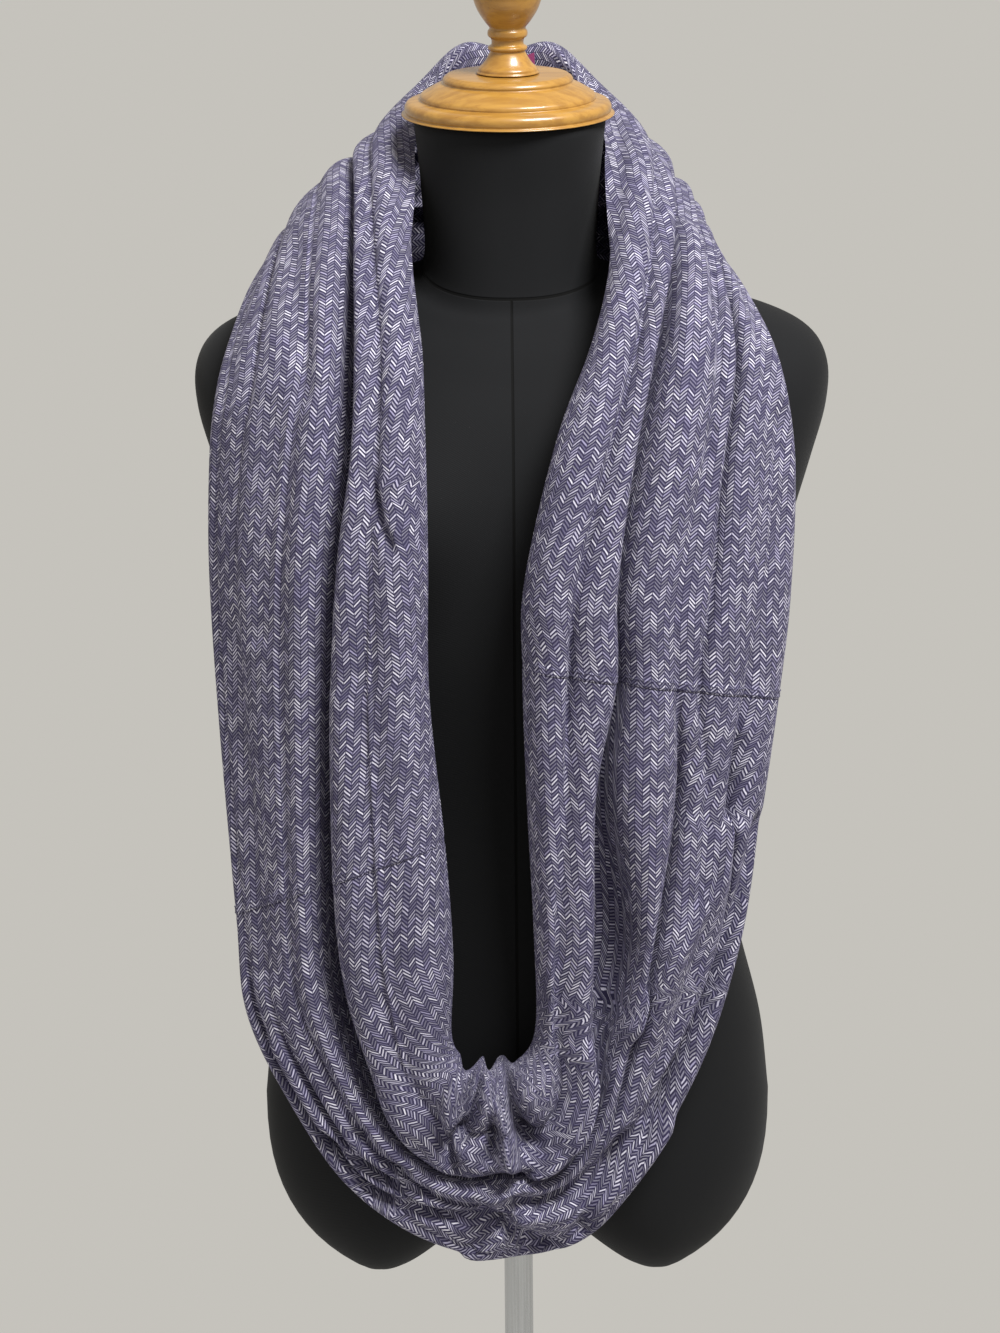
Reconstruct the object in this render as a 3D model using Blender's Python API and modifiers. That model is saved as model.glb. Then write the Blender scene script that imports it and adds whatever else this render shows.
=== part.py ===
"""Infinity scarf hung on a limbless dress form.

Frame: metres, +Z up, +Y to the back, origin on the floor on the pole's axis.
The scarf is one knit strip sewn into a loop from two lengths.  The loop passes
round the nape, over both shoulders and hangs to the hips.  Each section across
the strip runs from the inner edge (beside the neck) to the outer edge, and is
gathered into six soft rolls parted by five gaps.
"""

from collections import namedtuple
from math import cos, exp, radians, sin, tan

import bmesh
import bpy
from mathutils import Matrix, Vector
from mathutils.bvhtree import BVHTree

MM = 0.001

# ---------------------------------------------------------------- dress form
BODY_CORNERS = 44            # points round the torso
BODY_FULLNESS = 2.35         # squareness of the torso's sections, 2 is an ellipse
# Neck and shoulders, from the neck seam's top down, in millimetres.  The height
# of a section differs at its front, its sides and its back.
SHOULDER_SECTIONS = (
    # name          z_front z_side z_back half_width y_front y_back
    ("neck",        1398, 1415, 1434,  56, -62, 50),
    ("neck_seam",   1343, 1368, 1390,  56, -57, 60),
    ("collar",      1326, 1359, 1372,  78, -64, 74),
    ("slope",       1308, 1351, 1350, 120, -76, 86),
    ("slope_end",   1291, 1341, 1326, 162, -85, 92),
    ("cap_top",     1277, 1327, 1304, 189, -92, 94),
    ("cap_widest",  1264, 1307, 1284, 200, -97, 94),
    ("cap_round",   1250, 1280, 1262, 199, -101, 93),
    ("arm_plate",   1234, 1248, 1238, 190, -104, 91),
    ("armpit",      1213, 1216, 1213, 180, -106, 89),
)
# The trunk eases from one girth to the next, in millimetres.
Girth = namedtuple("Girth", "height half_width y_front y_back")
BUST = Girth(1180.0, 168.0, -106.0, 86.0)
WAIST = Girth(1030.0, 129.0, -89.0, 80.0)
HIP = Girth(830.0, 166.0, -93.0, 107.0)
TRUNK_STEP = 50.0            # height between the trunk's sections
NECK_TOP_HALF, NECK_TOP_FRONT, NECK_TOP_BACK = 60.0, -73.0, 43.0
BUST_X = 82.0
BUST_Z = 1208.0
BUST_OUT = 24.0
BUST_SPREAD = 48.0
CROTCH_DROP = 66.0           # hip line down to the notch between the lobes
LOBE_DROP = 134.0            # hip line down to the underside of a lobe
LOBE_X = 104.0
LOBE_CURVE = 2.6
LOBE_RINGS = 6
SOCKET_SHARE = 0.09          # flat spot over the pole, as a share of the hip section

# ------------------------------------------------------- cap, finial, stand
CAP_FOOT = Vector((-0.001, -0.015, 1.459))
CAP_TILT = radians(16.0)
CAP_GAP = 0.0004
NECK_TOP_SINK = 0.5          # the neck's end below the cap's foot plane, millimetres
# Turned profiles, in millimetres, as (radius, height above the cap's foot).
CAP_PROFILE = (
    (0.0, 24.6), (33.0, 24.6), (38.5, 23.6), (40.5, 21.4), (40.5, 19.6),
    (45.0, 17.8), (50.5, 14.8), (54.0, 12.6), (55.0, 10.6), (55.4, 9.4),
    (61.5, 8.4), (63.8, 6.6), (64.5, 4.2), (63.8, 1.6), (61.5, 0.0), (0.0, 0.0),
)
FINIAL_PROFILE = (
    (0.0, 108.0), (2.6, 107.2), (4.2, 104.4), (4.6, 101.0), (9.0, 98.6),
    (15.0, 94.4), (19.6, 88.0), (22.0, 80.0), (21.6, 72.0), (18.8, 63.5),
    (14.4, 56.5), (11.2, 52.4), (12.2, 50.4), (12.2, 47.6), (10.4, 46.0),
    (9.9, 44.0), (10.2, 42.2), (12.0, 41.0), (12.0, 39.4), (10.9, 38.4),
    (12.4, 35.0), (15.2, 31.0), (18.0, 28.4), (18.6, 26.6), (18.2, 25.0),
    (0.0, 25.0),
)
CAP_STEPS = 40
FINIAL_STEPS = 24
POLE_RADIUS = 0.0095
POLE_TOP = 0.7610
BASE_RADIUS = 0.170
BASE_THICK = 0.012
BASE_BEVEL = 0.003
ROUND_STEPS = 48

# ------------------------------------------------------------------- scarf
CLOTH_WALL = 0.002
SEAM_GAP = 0.0007            # at the strip's middle; the shorter inner edge has about half
CLOTH_CLEAR = 0.0045         # least air between the cloth's back and the form
SQUARE_ON = 0.6              # least cosine to a face's normal to count as behind it
TURN_DEPTH = 13.0            # how far the strip's edges roll back, millimetres
TUCK_DEPTH = 25.0
TUCK_WIDTH = 24.0
TUCK_MID = 0.3               # the tuck's middle point, as a share of TUCK_WIDTH
LYING_TURN = 0.35            # share of TURN_DEPTH left where an edge lies on the form
LYING_RUN = 6.0              # how far such an edge runs on, and down, millimetres
CREST_PER_WIDTH = 0.16       # a roll's height against its width
CREST_LEAST = 3.0
CREST_MOST = 13.0
ROLL_FULLNESS = 0.8          # below 1, a roll's flanks are steeper than a sine's
GAP_HALF = 1.0               # half the width of a closed gap, millimetres
GATHERS = 5
ROLL_STEPS = 4
STEPS_PER_SECTION = 2

# The loop in front view, in millimetres.  Two strands hang beside the middle
# line and join below in a half ring round an open eye.
NECK_HALF = 72.0             # inner edge beside the neck, from the middle line
NECK_DEEP = 74.0             # reach of the inner edge behind NECK_Y
NECK_Y = 12.0
SHOULDER_CURVE = 2.5         # how late the outer edges widen below the shoulders
HIP_CURVE = 1.5              # how late they draw in again towards the hips
INNER_LOW = (1110.0, 960.0)  # heights between which the inner edges ease to the eye
BELLY_Z = 1190.0             # where the inner edges stand out the most
BELLY_OUT = 160.0
BELLY_RISE = 152.0           # how far they fall back over BELLY_SPAN above it
BELLY_SPAN = 258.0
EYE_OUT = 140.0              # how far they stand out at the eye's foot
SIDE_OUT = 86.0              # the outer edges' distance in front of the middle
HEM_OUT = 122.0              # the same at the hem
SIDE_LOW_Z = 1090.0          # below this they come forward to the hem
HEM_FORWARD = 1.3
EYE_X, EYE_Z, EYE_RADIUS = -15.0, 908.0, 30.0
HEM_X, HEM_Z, HEM_RADIUS = -20.0, 888.0, 131.0
HEM_FLAT = 10.0              # how much the hem is cut in at HEM_FLAT_AT
HEM_FLAT_AT = 228.0
HEM_FLAT_SHARP = 4           # higher keeps the cut nearer to HEM_FLAT_AT
# Across sizes of each strand (distances from the middle line), the heights of its
# outer edge's top, widest place and hip, the heights between which its inner edge
# leaves the neck, and those between which its outer edge comes over the shoulder.
Strand = namedtuple("Strand", "side inner inner_hip outer_top outer outer_hip "
                              "top_z widest_z hip_z leave over")
LEFT = Strand(-1, 58, 43, 163, 185, 167, 1350, 1190, 908, (1440, 1300), (1355, 1285))
RIGHT = Strand(1, 10, 15, 136, 172, 138, 1358, 1210, 948, (1430, 1150), (1370, 1310))
# Sections behind the neck and over the shoulders, the same on both sides:
# degrees round the neck from the nape, height of the inner edge, then the outer
# edge as a share of the strand's width on the shoulder, its depth, and its drop
# below the top of the strand's outer edge.
BACK_SECTIONS = (
    # name       turn  inner_z share outer_y drop  bow  under: inner, outer
    ("nape",     0,    1512,   0.0,  120,    52,   12,  1.0, 1.0),
    ("back",     27,   1516,   0.38, 118,    56,   12,  1.0, 1.0),
    ("scapula",  54,   1485,   0.73, 110,    38,   16,  0.6, 0.6),
    ("neck",     90,   1455,   0.93, 58,     -9,   12,  0.0, 0.0),
)
# Sections down the front: the heights at which each meets its two edges.
FRONT_SECTIONS = (
    # name         strand inner_z outer_z  bow  under: inner, outer
    ("collar_l",   LEFT,  1420,   1350,    10,  0.0, 0.0),
    ("clavicle_l", LEFT,  1370,   1310,    10,  0.4, 0.0),
    ("chest_l",    LEFT,  1315,   1280,    12,  1.0, 0.1),
    ("bust_l",     LEFT,  1255,   1245,    12,  1.0, 0.5),
    ("rib_l",      LEFT,  1190,   1180,    14,  1.0, 1.0),
    ("waist_l",    LEFT,  1110,   1090,    14,  1.0, 1.0),
    ("seam_l",     LEFT,  1020,   970,     14,  1.0, 1.0),
    ("hip_l",      LEFT,  950,    910,     12,  1.0, 1.0),
    ("hip_r",      RIGHT, 965,    948,     12,  1.0, 1.0),
    ("waist_r",    RIGHT, 1050,   1035,    14,  1.0, 1.0),
    ("seam_r",     RIGHT, 1125,   1100,    14,  1.0, 1.0),
    ("rib_r",      RIGHT, 1175,   1165,    14,  1.0, 1.0),
    ("bust_r",     RIGHT, 1255,   1245,    12,  1.0, 0.5),
    ("chest_r",    RIGHT, 1315,   1300,    10,  1.0, 0.0),
    ("clavicle_r", RIGHT, 1370,   1335,    8,   0.3, 0.0),
    ("collar_r",   RIGHT, 1420,   1362,    8,   0.0, 0.0),
)
# Sections round the half ring, by their angle.
RING_SECTIONS = (
    # name       degrees bow
    ("turn_l",   195.0,  10),
    ("under_l",  225.0,  8),
    ("low_l",    253.0,  8),
    ("low_r",    277.0,  8),
    ("under_r",  303.0,  8),
    ("turn_r",   350.0,  10),
)
# One row per section: for each gap, where it lies across the strip (0 inner,
# 1 outer) and its depth in millimetres below the rolls; then how wide the
# second gap stands open, in millimetres.
FOLDS = (
    # name         gap1        gap2        gap3        gap4        gap5        open
    ("nape",       (0.14, 9),  (0.34, 4),  (0.50, 15), (0.70, 5),  (0.86, 9),  2),
    ("scapula_l",  (0.14, 7),  (0.28, 12), (0.47, 5),  (0.66, 12), (0.86, 3),  2),
    ("collar_l",   (0.12, 3),  (0.24, 14), (0.46, 0),  (0.72, 9),  (0.88, 2),  2),
    ("chest_l",    (0.14, 6),  (0.29, 30), (0.50, 0),  (0.75, 8),  (0.89, 1),  3),
    ("bust_l",     (0.14, 8),  (0.32, 36), (0.54, 0),  (0.78, 7),  (0.90, 1),  3),
    ("waist_l",    (0.17, 3),  (0.41, 36), (0.60, 0),  (0.80, 3),  (0.91, 1),  4),
    ("seam_l",     (0.22, 2),  (0.50, 34), (0.68, 0),  (0.82, 2),  (0.92, 1),  8),
    ("hip_l",      (0.22, 4),  (0.52, 34), (0.70, 2),  (0.82, 4),  (0.91, 4),  10),
    ("turn_l",     (0.18, 8),  (0.50, 24), (0.68, 6),  (0.80, 12), (0.90, 6),  4),
    ("low_l",      (0.16, 14), (0.40, 14), (0.58, 6),  (0.72, 12), (0.86, 4),  2),
    ("low_r",      (0.16, 14), (0.36, 14), (0.54, 10), (0.70, 14), (0.85, 4),  2),
    ("turn_r",     (0.14, 12), (0.37, 28), (0.53, 14), (0.68, 4),  (0.82, 12), 10),
    ("hip_r",      (0.12, 8),  (0.36, 36), (0.54, 16), (0.70, 3),  (0.84, 12), 18),
    ("waist_r",    (0.11, 8),  (0.27, 36), (0.56, 14), (0.68, 3),  (0.79, 12), 6),
    ("seam_r",     (0.13, 12), (0.31, 34), (0.52, 4),  (0.62, 8),  (0.80, 6),  3),
    ("rib_r",      (0.14, 12), (0.30, 26), (0.50, 2),  (0.63, 8),  (0.82, 4),  2),
    ("bust_r",     (0.17, 14), (0.30, 34), (0.56, 12), (0.65, 12), (0.84, 4),  3),
    ("chest_r",    (0.20, 12), (0.33, 34), (0.62, 12), (0.73, 12), (0.87, 4),  3),
    ("collar_r",   (0.20, 8),  (0.42, 20), (0.64, 10), (0.77, 8),  (0.89, 3),  2),
    ("scapula_r",  (0.16, 7),  (0.32, 4),  (0.50, 12), (0.68, 4),  (0.86, 8),  2),
)

LABEL_PLACE = 28.42          # where along the strip the tab starts
LABEL_SPAN = 0.62            # how much of the strip's table it covers
LABEL_DOWN = 6.0             # below the strip's top edge, millimetres
LABEL_TALL = 8.0
LABEL_THICK = 0.0010
LABEL_AIR = 0.0004
LABEL_STEPS = 4


# ---------------------------------------------------------------- utilities
def clear_scene():
    for thing in list(bpy.data.objects):
        bpy.data.objects.remove(thing, do_unlink=True)


def new_collection(name):
    group = bpy.data.collections.new(name)
    bpy.context.scene.collection.children.link(group)
    return group


def material(name, colour, roughness, metallic=0.0):
    paint = bpy.data.materials.new(name)
    paint.use_nodes = True
    shader = paint.node_tree.nodes["Principled BSDF"]
    shader.inputs["Base Color"].default_value = (*colour, 1.0)
    shader.inputs["Roughness"].default_value = roughness
    shader.inputs["Metallic"].default_value = metallic
    return paint


def mesh_object(name, points, faces, group, paint, smooth=True):
    mesh = bpy.data.meshes.new(name)
    mesh.from_pydata(points, [], faces)
    mesh.update()
    tidy = bmesh.new()
    tidy.from_mesh(mesh)
    bmesh.ops.recalc_face_normals(tidy, faces=tidy.faces)
    tidy.to_mesh(mesh)
    tidy.free()
    for face in mesh.polygons:
        face.use_smooth = smooth
    mesh.materials.append(paint)
    thing = bpy.data.objects.new(name, mesh)
    group.objects.link(thing)
    return thing


def catmull(before, start, end, after, part):
    """Smooth value between start and end."""
    square = part * part
    cube = square * part
    return 0.5 * (2.0 * start + (end - before) * part
                  + (2.0 * before - 5.0 * start + 4.0 * end - after) * square
                  + (3.0 * start - before - 3.0 * end + after) * cube)


def turned(name, profile, steps, group, paint):
    """Solid turned about +Z from a profile of (radius, height) in millimetres."""
    points = [(radius * MM, 0.0, height * MM) for radius, height in profile]
    edges = [(index, index + 1) for index in range(len(points) - 1)]
    mesh = bpy.data.meshes.new(name)
    mesh.from_pydata(points, edges, [])
    mesh.update()
    thing = bpy.data.objects.new(name, mesh)
    group.objects.link(thing)
    mesh.materials.append(paint)
    screw = thing.modifiers.new("turn", "SCREW")
    screw.axis = "Z"
    screw.angle = radians(360.0)
    screw.steps = steps
    screw.render_steps = steps
    screw.use_merge_vertices = True
    screw.merge_threshold = 0.00005
    screw.use_smooth_shade = True
    return thing


# --------------------------------------------------------------- dress form
def ease(share):
    """Smooth step from 0 to 1."""
    share = min(max(share, 0.0), 1.0)
    return share * share * (3.0 - 2.0 * share)


def cap_plane(y):
    """Height of the neck's sloping end at one depth, millimetres."""
    return CAP_FOOT.z / MM + (y - CAP_FOOT.y / MM) * tan(CAP_TILT) - NECK_TOP_SINK


def body_sections():
    """Rows of (z_front, z_side, z_back, half_width, y_front, y_back), top down."""
    middle = 0.5 * (NECK_TOP_FRONT + NECK_TOP_BACK)
    rows = [(cap_plane(NECK_TOP_FRONT), cap_plane(middle), cap_plane(NECK_TOP_BACK),
             NECK_TOP_HALF, NECK_TOP_FRONT, NECK_TOP_BACK)]
    rows += [row[1:] for row in SHOULDER_SECTIONS]
    height = BUST.height
    while height >= HIP.height:
        above, below = (BUST, WAIST) if height > WAIST.height else (WAIST, HIP)
        part = ease((above.height - height) / (above.height - below.height))
        sizes = [start + (end - start) * part for start, end in zip(above[1:], below[1:])]
        rows.append((height, height, height, *sizes))
        height -= TRUNK_STEP
    return rows


def body_ring(row):
    """Points of one torso section, starting at +X and going round by the back."""
    z_front, z_side, z_back, half_width, y_front, y_back = row
    middle = 0.5 * (y_front + y_back)
    depth = 0.5 * (y_back - y_front)
    ring = []
    for corner in range(BODY_CORNERS):
        angle = radians(360.0 * corner / BODY_CORNERS)
        across, back = cos(angle), sin(angle)
        size = (abs(across) ** BODY_FULLNESS + abs(back) ** BODY_FULLNESS) ** (-1.0 / BODY_FULLNESS)
        x = half_width * across * size
        y = middle + depth * back * size
        reach = back * size
        tilt = 0.5 * (z_back - z_front)
        droop = 0.5 * (z_back + z_front) - z_side
        z = z_side + tilt * reach + droop * reach * reach
        if back < 0.0:
            gap = ((abs(x) - BUST_X) / BUST_SPREAD) ** 2 + ((z - BUST_Z) / BUST_SPREAD) ** 2
            y -= BUST_OUT * exp(-gap) * abs(back)
        ring.append(Vector((x, y, z)) * MM)
    return ring


def lobe_drop(x):
    """Depth of the underside below the hip line at one place across."""
    return CROTCH_DROP + (LOBE_DROP - CROTCH_DROP) * ease(abs(x) / LOBE_X)


def body_mesh():
    rings = [body_ring(row) for row in body_sections()]
    hip = rings[-1]
    middle_y = 0.5 * (HIP.y_front + HIP.y_back) * MM
    shares = [cos(radians(90.0 * step / LOBE_RINGS)) for step in range(1, LOBE_RINGS)]
    for share in shares + [SOCKET_SHARE]:
        fall = (1.0 - share ** LOBE_CURVE) ** (1.0 / LOBE_CURVE)
        ring = []
        for point in hip:
            x = point.x * share
            y = middle_y + (point.y - middle_y) * share
            ring.append(Vector((x, y, HIP.height * MM - lobe_drop(x / MM) * fall * MM)))
        rings.append(ring)
    points = [point for ring in rings for point in ring]
    faces = []
    for level in range(len(rings) - 1):
        for corner in range(BODY_CORNERS):
            after = (corner + 1) % BODY_CORNERS
            top, low = level * BODY_CORNERS, (level + 1) * BODY_CORNERS
            faces.append((top + corner, top + after, low + after, low + corner))
    crown = len(points)
    points.append(sum(rings[0], Vector()) / BODY_CORNERS)
    crotch = len(points)
    points.append(Vector((0.0, middle_y, (HIP.height - CROTCH_DROP) * MM)))
    last = (len(rings) - 1) * BODY_CORNERS
    for corner in range(BODY_CORNERS):
        after = (corner + 1) % BODY_CORNERS
        faces.append((crown, after, corner))
        faces.append((crotch, last + corner, last + after))
    return points, faces


def surface_tree(things):
    """Nearest-point lookup over the finished surfaces of some objects."""
    bpy.context.view_layer.update()
    graph = bpy.context.evaluated_depsgraph_get()
    points, faces = [], []
    for thing in things:
        shape = thing.evaluated_get(graph)
        mesh = shape.to_mesh()
        first = len(points)
        points.extend(thing.matrix_world @ vertex.co for vertex in mesh.vertices)
        faces.extend([first + corner for corner in face.vertices] for face in mesh.polygons)
        shape.to_mesh_clear()
    return BVHTree.FromPolygons(points, faces)


# -------------------------------------------------------------------- scarf
def between(height, heights):
    """Eased share of the way down from the first height to the second."""
    return ease((heights[0] - height) / (heights[0] - heights[1]))


def inner_edge(strand, z):
    x = NECK_HALF + (strand.inner - NECK_HALF) * between(z, strand.leave)
    x += (strand.inner_hip - strand.inner) * between(z, INNER_LOW)
    if z > BELLY_Z:
        y = BELLY_RISE * ((z - BELLY_Z) / BELLY_SPAN) ** 2 - BELLY_OUT
    else:
        foot = EYE_Z - EYE_RADIUS
        y = (BELLY_OUT - EYE_OUT) * (BELLY_Z - z) / (BELLY_Z - foot) - BELLY_OUT
    return Vector((strand.side * x, y, z))


def outer_y(strand, z):
    low = max((SIDE_LOW_Z - z) / (SIDE_LOW_Z - HEM_Z + HEM_RADIUS), 0.0) ** HEM_FORWARD
    return -SIDE_OUT * between(z, strand.over) - (HEM_OUT - SIDE_OUT) * low


def outer_edge(strand, z):
    if z > strand.widest_z:
        part = ((z - strand.widest_z) / (strand.top_z - strand.widest_z)) ** SHOULDER_CURVE
        x = strand.outer + (strand.outer_top - strand.outer) * part
    else:
        part = ((strand.widest_z - z) / (strand.widest_z - strand.hip_z)) ** HIP_CURVE
        x = strand.outer + (strand.outer_hip - strand.outer) * part
    return Vector((strand.side * x, outer_y(strand, z), z))


def back_section(strand, row):
    name, turn, inner_z, share, y, drop, *rest = row
    angle = radians(turn)
    inner = Vector((strand.side * NECK_HALF * sin(angle), NECK_Y + NECK_DEEP * cos(angle), inner_z))
    outer = Vector((strand.side * strand.outer_top * share, y, strand.top_z - drop))
    return name, inner, outer, *rest


def ring_section(row):
    name, degrees, bow = row
    angle = radians(degrees)
    flat = max(cos(radians(degrees - HEM_FLAT_AT)), 0.0) ** HEM_FLAT_SHARP
    radius = HEM_RADIUS - HEM_FLAT * flat
    x, z = HEM_X + radius * cos(angle), HEM_Z + radius * sin(angle)
    inner = Vector((EYE_X + EYE_RADIUS * cos(angle), -EYE_OUT, EYE_Z + EYE_RADIUS * sin(angle)))
    outer = Vector((x, outer_y(LEFT, z), z))     # this low, both strands are as deep
    return name, inner, outer, bow, 1.0, 1.0


def strip_sections():
    """Rows of (name, inner edge, outer edge, bow, under inner, under outer).

    They go from the nape round the left strand (at -X), the half ring and the
    right strand, back to the nape.
    """
    nape, *side = BACK_SECTIONS
    front = [(name, inner_edge(strand, high), outer_edge(strand, low), *rest)
             for name, strand, high, low, *rest in FRONT_SECTIONS]
    names = [row[0] for row in front]
    split = names.index("hip_r")
    left = [back_section(LEFT, (row[0] + "_l", *row[1:])) for row in side]
    right = [back_section(RIGHT, (row[0] + "_r", *row[1:])) for row in reversed(side)]
    ring = [ring_section(row) for row in RING_SECTIONS]
    return [back_section(LEFT, nape)] + left + front[:split] + ring + front[split:] + right


STRIP = strip_sections()
BOW, UNDER_INNER, UNDER_OUTER = 3, 4, 5      # columns of STRIP


def path_value(values, place):
    """Smooth value on a closed row of numbers at a fractional place."""
    count = len(values)
    start = int(place // 1) % count
    return catmull(values[start - 1], values[start], values[(start + 1) % count],
                   values[(start + 2) % count], place % 1.0)


def fold_table():
    """Fold values at every section of STRIP, filled in between the named rows."""
    names = [row[0] for row in STRIP]
    known = []
    for row in FOLDS:
        flat = [number for pair in row[1:-1] for number in pair] + [row[-1]]
        known.append((names.index(row[0]), flat))
    table = []
    for place in range(len(names)):
        below = [item for item in known if item[0] <= place][-1]
        above = [item for item in known if item[0] >= place]
        after = above[0] if above else (len(names), known[0][1])
        span = after[0] - below[0]
        part = (place - below[0]) / span if span else 0.0
        table.append([a + (b - a) * part for a, b in zip(below[1], after[1])])
    return table


FOLD_ROWS = fold_table()


def edge_points(place):
    inner = Vector([path_value([row[1][axis] for row in STRIP], place) for axis in range(3)])
    outer = Vector([path_value([row[2][axis] for row in STRIP], place) for axis in range(3)])
    return inner, outer


def strip_frame(place):
    """Inner edge, across vector and outward direction of one section."""
    inner, outer = edge_points(place)
    ahead_in, ahead_out = edge_points(place + 0.1)
    behind_in, behind_out = edge_points(place - 0.1)
    along = (ahead_in + ahead_out) - (behind_in + behind_out)
    across = outer - inner
    return inner, across, across.cross(along).normalized()


def edge_profile(place, column, width):
    """Depth of an edge's turn, then its two last points from the cut edge inward.

    Where the edge is free it rolls under the strip; where it lies on the form
    it runs straight on down to it.
    """
    under = min(max(path_value([row[column] for row in STRIP], place), 0.0), 1.0)
    flat = 1.0 - under
    turn = TURN_DEPTH * (LYING_TURN + (1.0 - LYING_TURN) * under)
    run = LYING_RUN * flat
    tuck = (TUCK_DEPTH - TURN_DEPTH) * under
    tip = (TUCK_WIDTH * under - run) / width, -turn - tuck - run
    middle = (TUCK_MID * TUCK_WIDTH * under - 0.5 * run) / width, under - turn - tuck - 0.5 * run
    return turn, tip, middle


def section_profile(place, width):
    """Points across one section as (share across, height), in fold order."""
    values = [path_value([row[column] for row in FOLD_ROWS], place) for column in range(2 * GATHERS + 1)]
    turn_in, *edge_in = edge_profile(place, UNDER_INNER, width)
    turn_out, *edge_out = edge_profile(place, UNDER_OUTER, width)
    at = [0.0] + values[0:2 * GATHERS:2] + [1.0]
    deep = [0.0] + values[1:2 * GATHERS:2] + [0.0]
    crest = [min(CREST_PER_WIDTH * (end - start) * width + CREST_LEAST, CREST_MOST)
             for start, end in zip(at[:-1], at[1:])]
    floor = [-turn_in]
    floor += [min(crest[gap - 1], crest[gap]) - deep[gap] for gap in range(1, GATHERS + 1)]
    floor += [-turn_out]
    half_open = [0.0] + [GAP_HALF / width] * GATHERS + [0.0]
    half_open[2] = 0.5 * values[-1] / width
    row = list(edge_in)
    for roll in range(GATHERS + 1):
        start = at[roll] + half_open[roll]
        end = at[roll + 1] - half_open[roll + 1]
        for step in range(ROLL_STEPS + 1):
            angle = radians(180.0 * step / ROLL_STEPS)
            share = start + (end - start) * 0.5 * (1.0 - cos(angle))
            base = floor[roll] + (floor[roll + 1] - floor[roll]) * step / ROLL_STEPS
            row.append((share, base + (crest[roll] - base) * sin(angle) ** ROLL_FULLNESS))
    row += [(1.0 - share, height) for share, height in reversed(edge_out)]
    return row


def strip_points(place, clear_of):
    """Outer surface of the cloth along one section, held clear of the form."""
    inner, across, out = strip_frame(place)
    bow = path_value([row[BOW] for row in STRIP], place)
    points = []
    for share, height in section_profile(place, across.length):
        belly = 4.0 * bow * share * (1.0 - share)
        point = (inner + across * share + out * (height + belly)) * MM
        near, normal, _, gap = clear_of.find_nearest(point)
        away = point - near
        least = CLOTH_CLEAR + CLOTH_WALL
        if away.dot(normal) < -SQUARE_ON * gap:
            point = near + normal * least            # behind the form's surface
        elif 0.0 < gap < least:
            point = near + away * (least / gap)      # in front of it, but too near
        points.append(point)
    return points


def strip_length(place):
    """Length of the strip's middle line per unit of place."""
    ahead = edge_points(place + 0.05)
    behind = edge_points(place - 0.05)
    return ((ahead[0] + ahead[1]) - (behind[0] + behind[1])).length * 0.5 * MM / 0.1


def cloth_solid(name, start, end, clear_of, group, paint):
    """One length of the strip between two places, as a closed wall."""
    start = start + 0.5 * SEAM_GAP / strip_length(start)
    end = end - 0.5 * SEAM_GAP / strip_length(end)
    first = int(start * STEPS_PER_SECTION) + 1
    last = int(end * STEPS_PER_SECTION - 0.001)
    places = [start] + [step / STEPS_PER_SECTION for step in range(first, last + 1)] + [end]
    rows = [strip_points(place, clear_of) for place in places]
    size = len(rows[0])
    points = [point for row in rows for point in row]
    faces = []
    for level in range(len(rows) - 1):
        for step in range(size - 1):
            a = level * size + step
            faces.append((a, a + size, a + size + 1, a + 1))
    thing = mesh_object(name, points, faces, group, paint)
    wall = thing.modifiers.new("wall", "SOLIDIFY")
    wall.thickness = CLOTH_WALL
    wall.offset = -1.0
    wall.use_even_offset = False
    return thing, rows


def label_solid(group, paint):
    """Tab on the face of the strip's turned-under top edge, beside the centre back."""
    faces_near, faces_far = [], []
    for step in range(LABEL_STEPS + 1):
        place = LABEL_PLACE + LABEL_SPAN * step / LABEL_STEPS
        inner, across, out = strip_frame(place)
        down = across.normalized()
        for drop in (LABEL_DOWN, LABEL_DOWN + LABEL_TALL):
            face = (inner + down * drop - out * TUCK_DEPTH) * MM
            faces_near.append(face - out * LABEL_AIR)
            faces_far.append(face - out * (LABEL_AIR + LABEL_THICK))
    count = len(faces_near)
    faces = []
    for step in range(LABEL_STEPS):
        a = 2 * step
        for base in (0, count):
            faces.append((base + a, base + a + 1, base + a + 3, base + a + 2))
        for low in (0, 1):
            faces.append((a + low, a + low + 2, count + a + low + 2, count + a + low))
    for a in (0, 2 * LABEL_STEPS):
        faces.append((a, a + 1, count + a + 1, count + a))
    return mesh_object("nape_label", faces_near + faces_far, faces, group, paint, smooth=False)


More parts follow.
